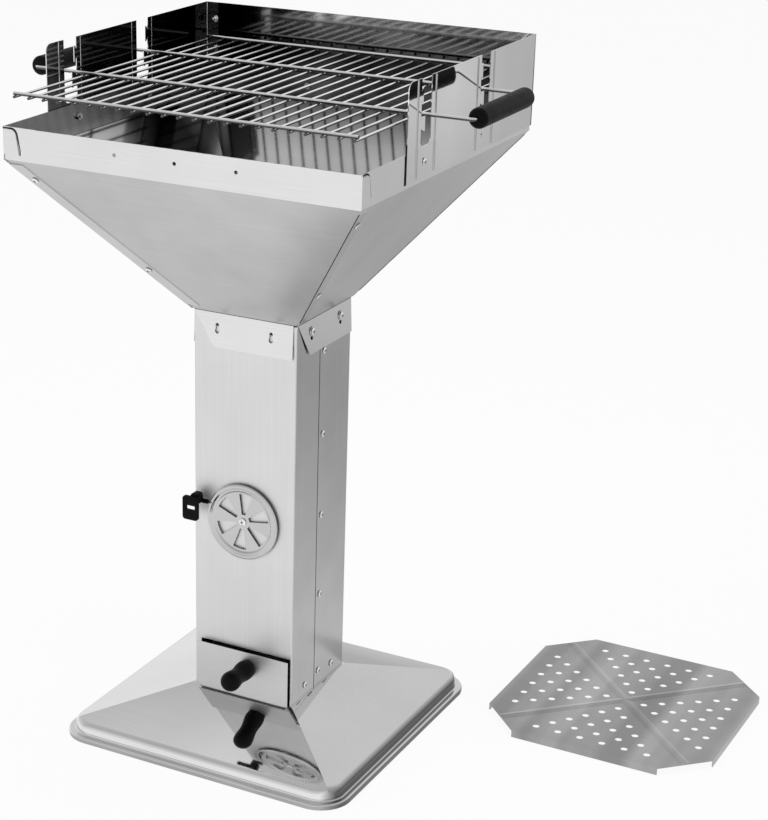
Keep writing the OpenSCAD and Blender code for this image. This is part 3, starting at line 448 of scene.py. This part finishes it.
def looks_along(axis, sign):
    """Chooses the second material for the faces that look one way along an axis."""
    return lambda face: int(sign * face.normal[axis] > FACING)


def is_sheet_edge(face):
    """The narrow face along a long edge of a sheet."""
    half = face.calc_perimeter() / 2
    return half > LONG_SHEET_EDGE and face.calc_area() / half < THIN_SHEET_EDGE


def funnel_sides(inward):
    """0 the rim outside, 1 what looks inward or up, 2 the slope outside, 3 the sheet's edges.

    The inside and the slope are darker than the rim and the edges near black, as painted shade.
    """
    inward = Vector(inward)

    def choose(face):
        if is_sheet_edge(face) and face.normal.z < SLOPING:
            return 3
        if face.normal.z > SLOPING or face.normal.dot(inward) > FACING:
            return 1
        return 2 if face.normal.z < -SLOPING else 0
    return choose


def screen_sides(face):
    """Right windshield: 0 the mirroring outside, 1 the inside in painted shade, 2 the beads."""
    if face.normal.x < -FACING:
        return 1
    return 2 if face.calc_center_median().x > BEAD_X else 0


# Drawer front: the CAD plate with its edges rounded a little

SOFT_ANGLE, SOFT_WIDTH, SOFT_STEPS = 0.6, 0.35 * MM, 3


def make_drawer_front():
    bm = plain_faces("drawer_front")
    edges = [e for e in bm.edges
             if len(e.link_faces) == 2 and e.is_convex and e.calc_face_angle(0) > SOFT_ANGLE]
    round_edges(bm, edges, SOFT_WIDTH, SOFT_STEPS, clamp=True)
    mesh = finished(bm, "drawer_front_soft", smooth_angle=40.0)
    even_shading(new_piece("drawer_front_soft", mesh, [drawer_steel],
                           nodes["drawer_front"]["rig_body"], "drawer_front"))


# Foot: a pressed pan with a low pyramid, a rolled shoulder, an outer flange and a lip

FOOT_LIP_HALF, FOOT_LIP_R, FOOT_LIP_H = 185 * MM, 38 * MM, 6 * MM
FOOT_SKIRT_HALF, FOOT_SKIRT_R = 176.5 * MM, 29.5 * MM
FOOT_SHOULDER_HALF, FOOT_SHOULDER_Z = 175.5 * MM, 19 * MM
FOOT_SHOULDER_R = FOOT_SKIRT_R - (FOOT_SKIRT_HALF - FOOT_SHOULDER_HALF)
FOOT_TOP_HALF, FOOT_TOP_Z = 67 * MM, 50 * MM
FOOT_WALL = 1.2 * MM
SHOULDER_ROUND, SKIRT_ROUND, LIP_ROUND, RIDGE_ROUND = 6.5 * MM, 1.8 * MM, 2.4 * MM, 1.8 * MM
SHOULDER_STEPS, SKIRT_STEPS, LIP_STEPS, RIDGE_STEPS = 8, 9, 9, 4
CORNER_STEPS = 12
UPSTAND_HALF, UPSTAND_H, UPSTAND_AT = 44 * MM, 24 * MM, 63.8 * MM
TILTED, NEARLY_LEVEL = 0.2, 0.93


def round_square(half, radius, height):
    """Corner by corner, the points of a square with round corners, with a height for each."""
    points = []
    for k in range(4):
        turn = k * QUARTER
        middle = Matrix.Rotation(turn, 3, "Z") @ Vector((half - radius, half - radius, 0))
        for j in range(CORNER_STEPS + 1):
            a = turn + j * math.pi / 2 / CORNER_STEPS
            point = middle + radius * Vector((math.cos(a), math.sin(a), 0))
            point.z = height(point)
            points.append(point)
    return points


def slope_height(point):
    """The height of the foot's pyramid at a point."""
    fall = (FOOT_TOP_Z - FOOT_SHOULDER_Z) / (FOOT_SHOULDER_HALF - FOOT_TOP_HALF)
    return FOOT_TOP_Z - fall * (max(abs(point.x), abs(point.y)) - FOOT_TOP_HALF)


def foot_skin(bm):
    """The outer skin of the foot. Returns its three closed bends and its four ridges as edges."""
    outlines = [
        round_square(FOOT_SHOULDER_HALF, FOOT_SHOULDER_R, slope_height),
        round_square(FOOT_SKIRT_HALF, FOOT_SKIRT_R, lambda p: FOOT_LIP_H),
        round_square(FOOT_LIP_HALF, FOOT_LIP_R, lambda p: FOOT_LIP_H),
        round_square(FOOT_LIP_HALF, FOOT_LIP_R, lambda p: 0)]
    tops = [bm.verts.new((sx * FOOT_TOP_HALF, sy * FOOT_TOP_HALF, FOOT_TOP_Z))
            for sx, sy in ((1, 1), (-1, 1), (-1, -1), (1, -1))]
    rings = [[bm.verts.new(p) for p in outline] for outline in outlines]
    shoulder = rings[0]
    count = len(shoulder)
    firsts = [k * (CORNER_STEPS + 1) for k in range(4)]
    half = CORNER_STEPS // 2
    bm.faces.new(tops)
    for k, first in enumerate(firsts):
        for start in (first, first + half):
            bm.faces.new([tops[k]] + shoulder[start:start + half + 1])
        last = first + CORNER_STEPS
        bm.faces.new([tops[k], shoulder[last], shoulder[(last + 1) % count], tops[(k + 1) % 4]])
    for inner, outer in zip(rings, rings[1:]):
        for j in range(count):
            bm.faces.new([inner[j], outer[j], outer[(j + 1) % count], inner[(j + 1) % count]])
    bmesh.ops.recalc_face_normals(bm, faces=bm.faces)
    loops = [[bm.edges.get((ring[j], ring[(j + 1) % count])) for j in range(count)]
             for ring in rings[:3]]
    ridges = [bm.edges.get((tops[k], shoulder[first + half])) for k, first in enumerate(firsts)]
    return loops, ridges


def foot_mesh():
    bm = bmesh.new()
    (shoulder, skirt, lip), ridges = foot_skin(bm)
    for edges, width, steps in ((shoulder, SHOULDER_ROUND, SHOULDER_STEPS),
                                (skirt, SKIRT_ROUND, SKIRT_STEPS),
                                (lip, LIP_ROUND, LIP_STEPS),
                                (ridges, RIDGE_ROUND, RIDGE_STEPS)):
        round_edges(bm, [e for e in edges if e.is_valid], width, steps)
    bmesh.ops.recalc_face_normals(bm, faces=bm.faces)
    if max(bm.faces, key=lambda f: f.calc_center_median().z).normal.z < 0:
        bmesh.ops.reverse_faces(bm, faces=bm.faces)
    bmesh.ops.solidify(bm, geom=bm.faces, thickness=FOOT_WALL)
    for vert in bm.verts:
        vert.co.z = max(vert.co.z, 0)
    return bm


def foot_sides(face):
    """0 most of the foot, 1 the front slope, 2 the upright edge of the lip.

    The front slope is lighter, as painted light. The faces that look to the right are darker in
    the first and the last, and the lip is darker overall, as painted shade.
    """
    if face.normal.y < -TILTED and face.normal.z > NEARLY_LEVEL:
        return 1
    upright = abs(face.normal.z) < SLOPING
    return 2 if upright and face.calc_center_median().z < FOOT_LIP_H else 0


def make_foot():
    bm = foot_mesh()
    low = FOOT_TOP_Z - FOOT_WALL
    for k in (1, 2, 3):
        box_mesh(bm, (-UPSTAND_HALF, -UPSTAND_AT, low),
                 (UPSTAND_HALF, -UPSTAND_AT + SHEET, low + UPSTAND_H), quarter_turn(k))
    bmesh.ops.recalc_face_normals(bm, faces=bm.faces)
    for face in bm.faces:
        face.material_index = foot_sides(face)
    mesh = finished(bm, "foot", smooth_angle=12.0)
    even_shading(new_piece("foot", mesh, [foot_steel, foot_front_lit, foot_lip_shade], "stand", "base_pan"))


# Air vent: a pressed disc with a raised bead round its windows, and a tab for the grip

VENT_Z, VENT_PLANE, VENT_SHEET = 271 * MM, 68 * MM, 0.8 * MM
VENT_FIRST, VENT_WINDOW, VENT_COUNT = 9, 29, 6
VENT_IN_R, VENT_OUT_R = 9, 34
VENT_BACK_R = 36.5 * MM
VENT_PROFILE = [  # radius and height above the field, both in mm
    (2.58, 0), (4.6, 0), (6.5, 0), (9, 0), (14, 0), (20, 0), (27, 0), (34, 0),
    (35.4, 0), (36.2, 0.25), (37, 0.9), (38, 1.75), (39, 2.1), (40, 1.9),
    (40.8, 1.45), (41.4, 1.2), (42.4, 1.15), (43.4, 1.35), (44.3, 1.9),
    (45, 1.6), (45.45, 0.8), (45.5, 0.1)]
TAB_UP, TAB_HALF, TAB_REACH, TAB_ROOT = 16.5, 1.25, 58, 40
TAB_Y = (-70, -69)


def vent_mesh():
    bm = bmesh.new()
    rings = []
    for radius, height in VENT_PROFILE:
        ring = []
        for a in range(360):
            t = math.radians(a)
            ring.append(bm.verts.new((radius * MM * math.cos(t), -VENT_PLANE - height * MM,
                                      VENT_Z + radius * MM * math.sin(t))))
        rings.append(ring)
    for i in range(len(rings) - 1):
        inside = VENT_IN_R <= VENT_PROFILE[i][0] and VENT_PROFILE[i + 1][0] <= VENT_OUT_R
        for a in range(360):
            if inside and (a - VENT_FIRST) % (360 // VENT_COUNT) < VENT_WINDOW:
                continue
            b = (a + 1) % 360
            bm.faces.new([rings[i][a], rings[i + 1][a], rings[i + 1][b], rings[i][b]])
    bmesh.ops.recalc_face_normals(bm, faces=bm.faces)
    if sum(f.normal.y for f in bm.faces) > 0:
        bmesh.ops.reverse_faces(bm, faces=bm.faces)
    bmesh.ops.solidify(bm, geom=bm.faces, thickness=VENT_SHEET)
    box_mesh(bm, (-TAB_REACH * MM, TAB_Y[0] * MM, VENT_Z + (TAB_UP - TAB_HALF) * MM),
             (-TAB_ROOT * MM, TAB_Y[1] * MM, VENT_Z + (TAB_UP + TAB_HALF) * MM))
    bmesh.ops.recalc_face_normals(bm, faces=bm.faces)
    # The back of the outer ring gets the near black material, as painted shade in the gap under
    # the disc.
    for face in bm.faces:
        middle = face.calc_center_median()
        outside = math.hypot(middle.x, middle.z - VENT_Z) > VENT_BACK_R
        face.material_index = 1 if outside and face.normal.y > SLOPING else 0
    return finished(bm, "vent_sheet", smooth_angle=32.0)


# Vent grip: a flat body with a small slot, a neck behind it and a prong round the disc's tab

# From and to along x, y and z, and the radius of the corners, all in mm. The slot has no y.
HANDLE_BODY = ((-69, -48.8), (-86.5, -82.2), (267.6, 296.4), 3.6)
HANDLE_NECK = ((-60.5, -49.8), (-82.3, -71.6), (286.2, 299.2), 3)
HANDLE_PRONG = ((-58.5, -43.6), (-71.8, -68.4), (285.2, 290), 0.8)
HANDLE_SLOT = ((-64.4, -52.8), (279.9, 285.3), 0.5)
HANDLE_SHARP, HANDLE_ROUND, HANDLE_STEPS = 1.2, 0.6 * MM, 3


def round_outline(xs, zs, radius, steps=6):
    """The points of an upright rectangle with round corners."""
    points = []
    for k, (cx, cz) in enumerate(((1, 1), (0, 1), (0, 0), (1, 0))):
        x = xs[cx] + (-radius if cx else radius)
        z = zs[cz] + (-radius if cz else radius)
        for j in range(steps + 1):
            a = math.radians(90 * k + 90 * j / steps)
            points.append((x + radius * math.cos(a), z + radius * math.sin(a)))
    return points


def slab(bm, xs, ys, zs, radius, slot=None):
    """An upright slab between two depths, with a slot through it if one is given."""
    def layer(points, y):
        return [bm.verts.new((x * MM, y * MM, z * MM)) for x, z in points]

    def band(one, two):
        for j in range(len(one)):
            bm.faces.new([one[j], two[j], two[(j + 1) % len(one)], one[(j + 1) % len(one)]])

    rings = [layer(round_outline(xs, zs, radius), y) for y in ys]
    band(*rings)
    if slot:
        holes = [layer(round_outline(*slot), y) for y in ys]
        band(*holes)
        for ring, hole in zip(rings, holes):
            band(ring, hole)
    else:
        for ring in rings:
            bm.faces.new(ring)


def make_vent_grip():
    bm = bmesh.new()
    slab(bm, *HANDLE_BODY, HANDLE_SLOT)
    slab(bm, *HANDLE_NECK)
    slab(bm, *HANDLE_PRONG)
    bmesh.ops.recalc_face_normals(bm, faces=bm.faces)
    edges = [e for e in bm.edges if e.is_convex and e.calc_face_angle(0) > HANDLE_SHARP]
    round_edges(bm, edges, HANDLE_ROUND, HANDLE_STEPS, clamp=True)
    mesh = finished(bm, "vent_handle", smooth_angle=40.0)
    new_piece("vent_handle", mesh, [plastic], "vent", "vent_grip")


# Charcoal plate: the CAD sheet with its pressed cross widened and drawn out to the cut corners

PLATE_AT, PLATE_TOP = (372, 222), 9
CROSS_REACH = 161
CROSS_PROFILE = (  # across the arm and above the sheet, both in mm
    (-6.5, 0), (-2.2, 0.85), (-1.2, 0.95), (0, 0.35), (1.2, 0.95), (2.2, 0.85), (6.5, 0))


def make_plate():
    bm = welded("charcoal_plate")
    place = Matrix.Translation((PLATE_AT[0] * MM, PLATE_AT[1] * MM, 0))
    for k in range(2):
        turn = place @ Matrix.Rotation(math.pi / 4 + k * QUARTER, 4, "Z")
        near, far = [
            [bm.verts.new(turn @ (Vector((x, y, PLATE_TOP + z)) * MM)) for y, z in CROSS_PROFILE]
            for x in (-CROSS_REACH, CROSS_REACH)]
        for j in range(len(CROSS_PROFILE) - 1):
            bm.faces.new([near[j], far[j], far[j + 1], near[j + 1]])
        bm.faces.new([near[-1], far[-1], far[0], near[0]])
        for end in (near, far):
            bm.faces.new(end)
    mesh = finished(bm, "plate_sheet", smooth_angle=12.0)
    plate = new_piece("plate_sheet", mesh, [plate_steel], "charcoal_plate", "charcoal_plate")
    plate.visible_glossy = False


# Dark strips where sheets meet, as painted shadow in the gaps between them

# From and to along x, y and z, in mm: a seam of the column and the right windshield's front edge.
SEAM_GAP = ((64.2, 65.04), (-10.6, -9.3), (51, 508))
SCREEN_GAP = ((210.02, 210.7), (-113.4, -111.6), (697, 738))
TAB_EDGE = [  # x and z of a corner tab's outline, in mm
    (-189.4, 699.5), (-189.4, 705), (-192.6, 719.5), (-193.1, 721.8), (-194.3, 723.8),
    (-196.3, 725.2), (-199, 725.9), (-209.5, 725.9)]
TAB_MIDDLE = (-199, 715)
TAB_GAP_W, TAB_GAP_Y = 1.8, (-210.12, -209.9)


def gap_box(bm, spans):
    lows, highs = zip(*spans)
    box_mesh(bm, [v * MM for v in lows], [v * MM for v in highs])


def tab_gap(bm, turn):
    """A thin closed dark strip round the edge of one corner tab, as painted shadow in its gap."""
    layers = []
    for y in TAB_GAP_Y:
        inner, outer = [], []
        for x, z in TAB_EDGE:
            away = Vector((x - TAB_MIDDLE[0], 0, z - TAB_MIDDLE[1])).normalized() * TAB_GAP_W
            inner.append(bm.verts.new(turn @ (Vector((x, y, z)) * MM)))
            outer.append(bm.verts.new(turn @ (Vector((x + away.x, y, z + away.z)) * MM)))
        layers.append((inner, outer))
    (in_a, out_a), (in_b, out_b) = layers
    for j in range(len(TAB_EDGE) - 1):
        bm.faces.new([in_a[j], in_a[j + 1], out_a[j + 1], out_a[j]])
        bm.faces.new([in_b[j], out_b[j], out_b[j + 1], in_b[j + 1]])
        bm.faces.new([in_a[j], in_b[j], in_b[j + 1], in_a[j + 1]])
        bm.faces.new([out_a[j], out_a[j + 1], out_b[j + 1], out_b[j]])
    for j in (0, len(TAB_EDGE) - 1):
        bm.faces.new([in_a[j], out_a[j], out_b[j], in_b[j]])


def make_gaps():
    bm = bmesh.new()
    (near, far), *others = SEAM_GAP
    gap_box(bm, [(-far, -near), *others])
    gap_box(bm, SEAM_GAP)
    gap_box(bm, SCREEN_GAP)
    for k in range(4):
        tab_gap(bm, quarter_turn(k))
    # One dark piece for all these strips of painted shadow.
    new_piece("painted_gap_shadows", finished(bm, "painted_gap_shadows"), [painted_shade_black], "stand")


# Turned pieces: the grips and the drawer's knob

TURN_STEPS, ROUND_STEPS, DOME_STEPS = 64, 10, 16
GRIP_R, GRIP_ROUND, GRIP_BORE = 10.7, 6, 2.15
KNOB_AT = (10.5, -73, 90)
KNOB_L, KNOB_R, KNOB_WAIST, KNOB_BORE = 51, 11.7, 10, 2.05
KNOB_SWELL, KNOB_FOOT_IN = 8, 1.5
KNOB_SWELL_STEPS, KNOB_WAIST_STEPS = 8, 24
KNOB_TIP_R, KNOB_TIP_IN = 0.2, 0.02


def turned(name, outline, place, node):
    """A closed outline of radius and length, turned round its length.

    place is where its start lies. Its length points to the front."""
    matrix = Matrix.Translation(place) @ Matrix.Rotation(QUARTER, 4, "X")
    bm = bmesh.new()
    rings = []
    for radius, along in outline:
        ring = []
        for k in range(TURN_STEPS):
            a = 2 * math.pi * k / TURN_STEPS
            point = Vector((radius * MM * math.cos(a), radius * MM * math.sin(a), along * MM))
            ring.append(bm.verts.new(matrix @ point))
        rings.append(ring)
    for i, ring in enumerate(rings):
        after = rings[(i + 1) % len(rings)]
        for k in range(TURN_STEPS):
            n = (k + 1) % TURN_STEPS
            bm.faces.new([ring[k], after[k], after[n], ring[n]])
    mesh = finished(bm, name, smooth_angle=50.0)
    new_piece(name, mesh, [plastic], nodes[node]["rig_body"], node)


def arc(middle, radius, start, end, steps):
    """Points on an arc, as radius and length, by angles from the radial direction."""
    points = []
    for k in range(steps + 1):
        a = math.radians(start + (end - start) * k / steps)
        points.append((middle[0] + radius * math.cos(a), middle[1] + radius * math.sin(a)))
    return points


def make_grip(node, name):
    low, high = (Vector(c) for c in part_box(node))
    middle = (low + high) / 2
    length = (high.y - low.y) / MM
    flat = GRIP_R - GRIP_ROUND
    outline = [(GRIP_BORE, 0)]
    outline += arc((flat, GRIP_ROUND), GRIP_ROUND, -90, 0, ROUND_STEPS)
    outline += [(GRIP_R, length * share) for share in (0.25, 0.5, 0.75)]
    outline += arc((flat, length - GRIP_ROUND), GRIP_ROUND, 0, 90, ROUND_STEPS)
    outline += [(GRIP_BORE, length)]
    turned(name, outline, (middle.x, high.y, middle.z), node)


def make_knob():
    neck = KNOB_L - KNOB_R
    outline = [(KNOB_BORE, 0)]
    for k in range(KNOB_SWELL_STEPS + 1):
        share = k / KNOB_SWELL_STEPS
        outline.append((KNOB_R - KNOB_FOOT_IN * (1 - share) ** 2, KNOB_SWELL * share))
    for k in range(1, KNOB_WAIST_STEPS):
        share = k / KNOB_WAIST_STEPS
        dip = (KNOB_R - KNOB_WAIST) * math.sin(math.pi * share) ** 2
        outline.append((KNOB_R - dip, KNOB_SWELL + (neck - KNOB_SWELL) * share))
    outline += arc((0, neck), KNOB_R, 0, 89, DOME_STEPS)
    outline += [(KNOB_TIP_R, KNOB_L - KNOB_TIP_IN), (KNOB_TIP_R, KNOB_L / 2),
                (KNOB_BORE, KNOB_L / 2)]
    turned("knob", outline, [v * MM for v in KNOB_AT], "drawer_knob")


# The pieces

make_foot()
for name in ("column_front", "column_rear"):
    folded(name, [column_steel, column_side_shade], looks_along(X_AXIS, 1))
for name, inward, inside, slope in (("funnel_front", (0, 1, 0), inner_steel, funnel_steel),
                                    ("funnel_right", (-1, 0, 0), inner_steel, funnel_side),
                                    ("funnel_back", (0, -1, 0), inner_back_shade, funnel_steel),
                                    ("funnel_left", (1, 0, 0), inner_left_shade, funnel_side)):
    folded(name, [rim_steel, inside, slope, painted_shade_black], funnel_sides(inward))
folded("windshield_left", [screen_steel, screen_left_shade], looks_along(X_AXIS, 1))
folded("windshield_back", [screen_steel, screen_back_shade], looks_along(Y_AXIS, -1))
folded("windshield_right", [screen_mirror, screen_inside_shade, bead_steel], screen_sides)
new_piece("vent_sheet", vent_mesh(), [vent_steel, vent_back_shade], "vent", "vent_disc")
make_grip("grip_left", "grip_on_left")
make_grip("grip_right", "grip_on_right")
make_knob()
make_vent_grip()
make_plate()
make_gaps()
make_drawer_front()

# CAD nodes that are shown as they are: the tray, the wires and all fasteners

LOOKS = {
    "ash_tray": tray_steel,
    "grid_ring": chrome, "grid_end_wires": chrome, "grid_cross_wires": chrome,
}
for node_name, cad_object in nodes.items():
    cad_object.data.materials.clear()
    cad_object.data.materials.append(LOOKS.get(node_name, bright_bolt))


# Stage and world

WHITE = (1, 1, 1, 1)
FLOOR_SIZE, FLOOR_TONE, FLOOR_GLOW = 16.0, (0.86, 0.86, 0.86, 1), 0.92
FLOOR_BY_DEPTH = ((0.0, 1.0), (0.12, 0.85), (0.25, 0.72), (0.55, 0.5), (0.72, 0.48), (0.95, 0.6))
FOOT_SHADE = 0.168
PLAIN_LIGHT, WHITE_LIGHT = 0.55, 0.975
ROOM_BY_HEIGHT = ((0.0, 0.95), (0.1, 0.95), (0.4, 0.8), (0.56, 0.72), (0.75, 0.63), (1.0, 0.58))
ROOM_BY_SIDE = ((0.0, 0.95), (0.12, 0.92), (0.22, 0.78), (0.35, 0.9), (0.6, 1.0))


def make_stage():
    """A floor that the camera sees as white with a faint shadow.

    The steel mirrors it darker towards the back, and black under the foot."""
    bm = bmesh.new()
    bmesh.ops.create_grid(bm, x_segments=1, y_segments=1, size=FLOOR_SIZE)
    mesh = bpy.data.meshes.new("floor")
    bm.to_mesh(mesh)
    bm.free()
    floor = bpy.data.objects.new("floor", mesh)
    bpy.context.scene.collection.objects.link(floor)
    material = bpy.data.materials.new("pale_floor")
    material.use_nodes = True
    tree = Tree(material.node_tree)
    path = tree.add("ShaderNodeLightPath")
    seen, mirrored = path.outputs["Is Camera Ray"], path.outputs["Is Glossy Ray"]
    place = tree.parts(tree.add("ShaderNodeTexCoord").outputs["Object"])
    across = tree.math("MAXIMUM", tree.math("ABSOLUTE", place["X"]),
                       tree.math("ABSOLUTE", place["Y"]))
    outside = tree.math("GREATER_THAN", across, FOOT_SHADE)
    room = tree.ramp(tree.math("MULTIPLY_ADD", place["Y"], 0.5, 0.1), *FLOOR_BY_DEPTH)
    glow = tree.math("ADD", seen, tree.math("MULTIPLY", mirrored, room))
    diffuse = tree.add("ShaderNodeBsdfDiffuse")
    diffuse.inputs["Color"].default_value = FLOOR_TONE
    emission = tree.add("ShaderNodeEmission")
    tree.link(tree.math("MULTIPLY", glow, outside), emission.inputs["Strength"])
    share = tree.math("MULTIPLY_ADD", seen, FLOOR_GLOW, mirrored)
    surface = tree.blend(share, diffuse.outputs[0], emission.outputs[0])
    tree.link(surface, tree.add("ShaderNodeOutputMaterial").inputs["Surface"])
    mesh.materials.append(material)


def background(tree, strength, colour=None):
    node = tree.add("ShaderNodeBackground")
    node.inputs["Color"].default_value = WHITE
    node.inputs["Strength"].default_value = strength
    if colour is not None:
        tree.link(colour, node.inputs["Color"])
    return node.outputs[0]


def make_world():
    """White for the camera and plain light for dull surfaces.

    The steel mirrors a room with a darker ceiling and a dim strip towards the front."""
    world = bpy.data.worlds.new("studio")
    bpy.context.scene.world = world
    world.use_nodes = True
    tree = Tree(world.node_tree)
    path = tree.add("ShaderNodeLightPath")
    way = tree.parts(tree.add("ShaderNodeTexCoord").outputs["Generated"])
    by_height = tree.ramp(way["Z"], *ROOM_BY_HEIGHT)
    by_side = tree.ramp(tree.math("MULTIPLY_ADD", way["Y"], 0.5, 0.5), *ROOM_BY_SIDE)
    room = background(tree, 1.0, tree.times(by_height, by_side))
    light = tree.blend(path.outputs["Is Glossy Ray"], background(tree, PLAIN_LIGHT), room)
    surface = tree.blend(path.outputs["Is Camera Ray"], light, background(tree, WHITE_LIGHT))
    tree.link(surface, tree.add("ShaderNodeOutputWorld").inputs["Surface"])


# Lights

MIDDLE = Vector((0, 0, 0.45))


def soft_light(name, place, size, power):
    """A wide lamp that looks at the object's middle and shows in no mirror."""
    light = bpy.data.lights.new(name, "AREA")
    light.shape = "RECTANGLE"
    light.size, light.size_y = size
    light.energy = power
    lamp = bpy.data.objects.new(name, light)
    lamp.location = place
    lamp.rotation_euler = (MIDDLE - Vector(place)).to_track_quat("-Z", "Y").to_euler()
    lamp.visible_glossy = False
    lamp.visible_camera = False
    bpy.context.scene.collection.objects.link(lamp)


# Camera, as fitted to the photograph

CAMERA_PLACE = Vector((1.08581, -1.97206, 1.20405))
CAMERA_YAW, CAMERA_PITCH, CAMERA_ROLL = 29.2287, 22.470, 0.445
PHOTO_W, PHOTO_H = 768, 820
FOCAL_PX = 2092.45
MIDDLE_PX = (258.37, 500.65)
SENSOR = 36.0
FAR_END = 60


def make_camera():
    """The sensor's width goes with the picture's longer side, which is its height."""
    data = bpy.data.cameras.new("camera")
    data.sensor_width = SENSOR
    data.lens = FOCAL_PX * SENSOR / PHOTO_H
    data.shift_x = (PHOTO_W / 2 - MIDDLE_PX[0]) / PHOTO_H
    data.shift_y = (MIDDLE_PX[1] - PHOTO_H / 2) / PHOTO_H
    data.clip_end = FAR_END
    camera = bpy.data.objects.new("camera", data)
    yaw, pitch, roll = (math.radians(a) for a in (CAMERA_YAW, CAMERA_PITCH, CAMERA_ROLL))
    ahead = Vector((-math.sin(yaw) * math.cos(pitch), math.cos(yaw) * math.cos(pitch),
                    -math.sin(pitch)))
    right = ahead.cross(Vector((0, 0, 1))).normalized()
    top = right.cross(ahead)
    right, top = (math.cos(roll) * right + math.sin(roll) * top,
                  math.cos(roll) * top - math.sin(roll) * right)
    camera.matrix_world = Matrix((
        (right.x, top.x, -ahead.x, CAMERA_PLACE.x),
        (right.y, top.y, -ahead.y, CAMERA_PLACE.y),
        (right.z, top.z, -ahead.z, CAMERA_PLACE.z),
        (0, 0, 0, 1)))
    bpy.context.scene.collection.objects.link(camera)
    bpy.context.scene.camera = camera


make_stage()
make_world()
soft_light("key", (-1.7, -1.6, 2.3), (1.5, 1.5), 26)
soft_light("fill", (2.2, -0.8, 1.6), (1.5, 1.8), 12)
soft_light("top", (0.2, 0.5, 2.8), (1.8, 1.8), 16)
make_camera()
bpy.context.scene.view_settings.view_transform = "Standard"
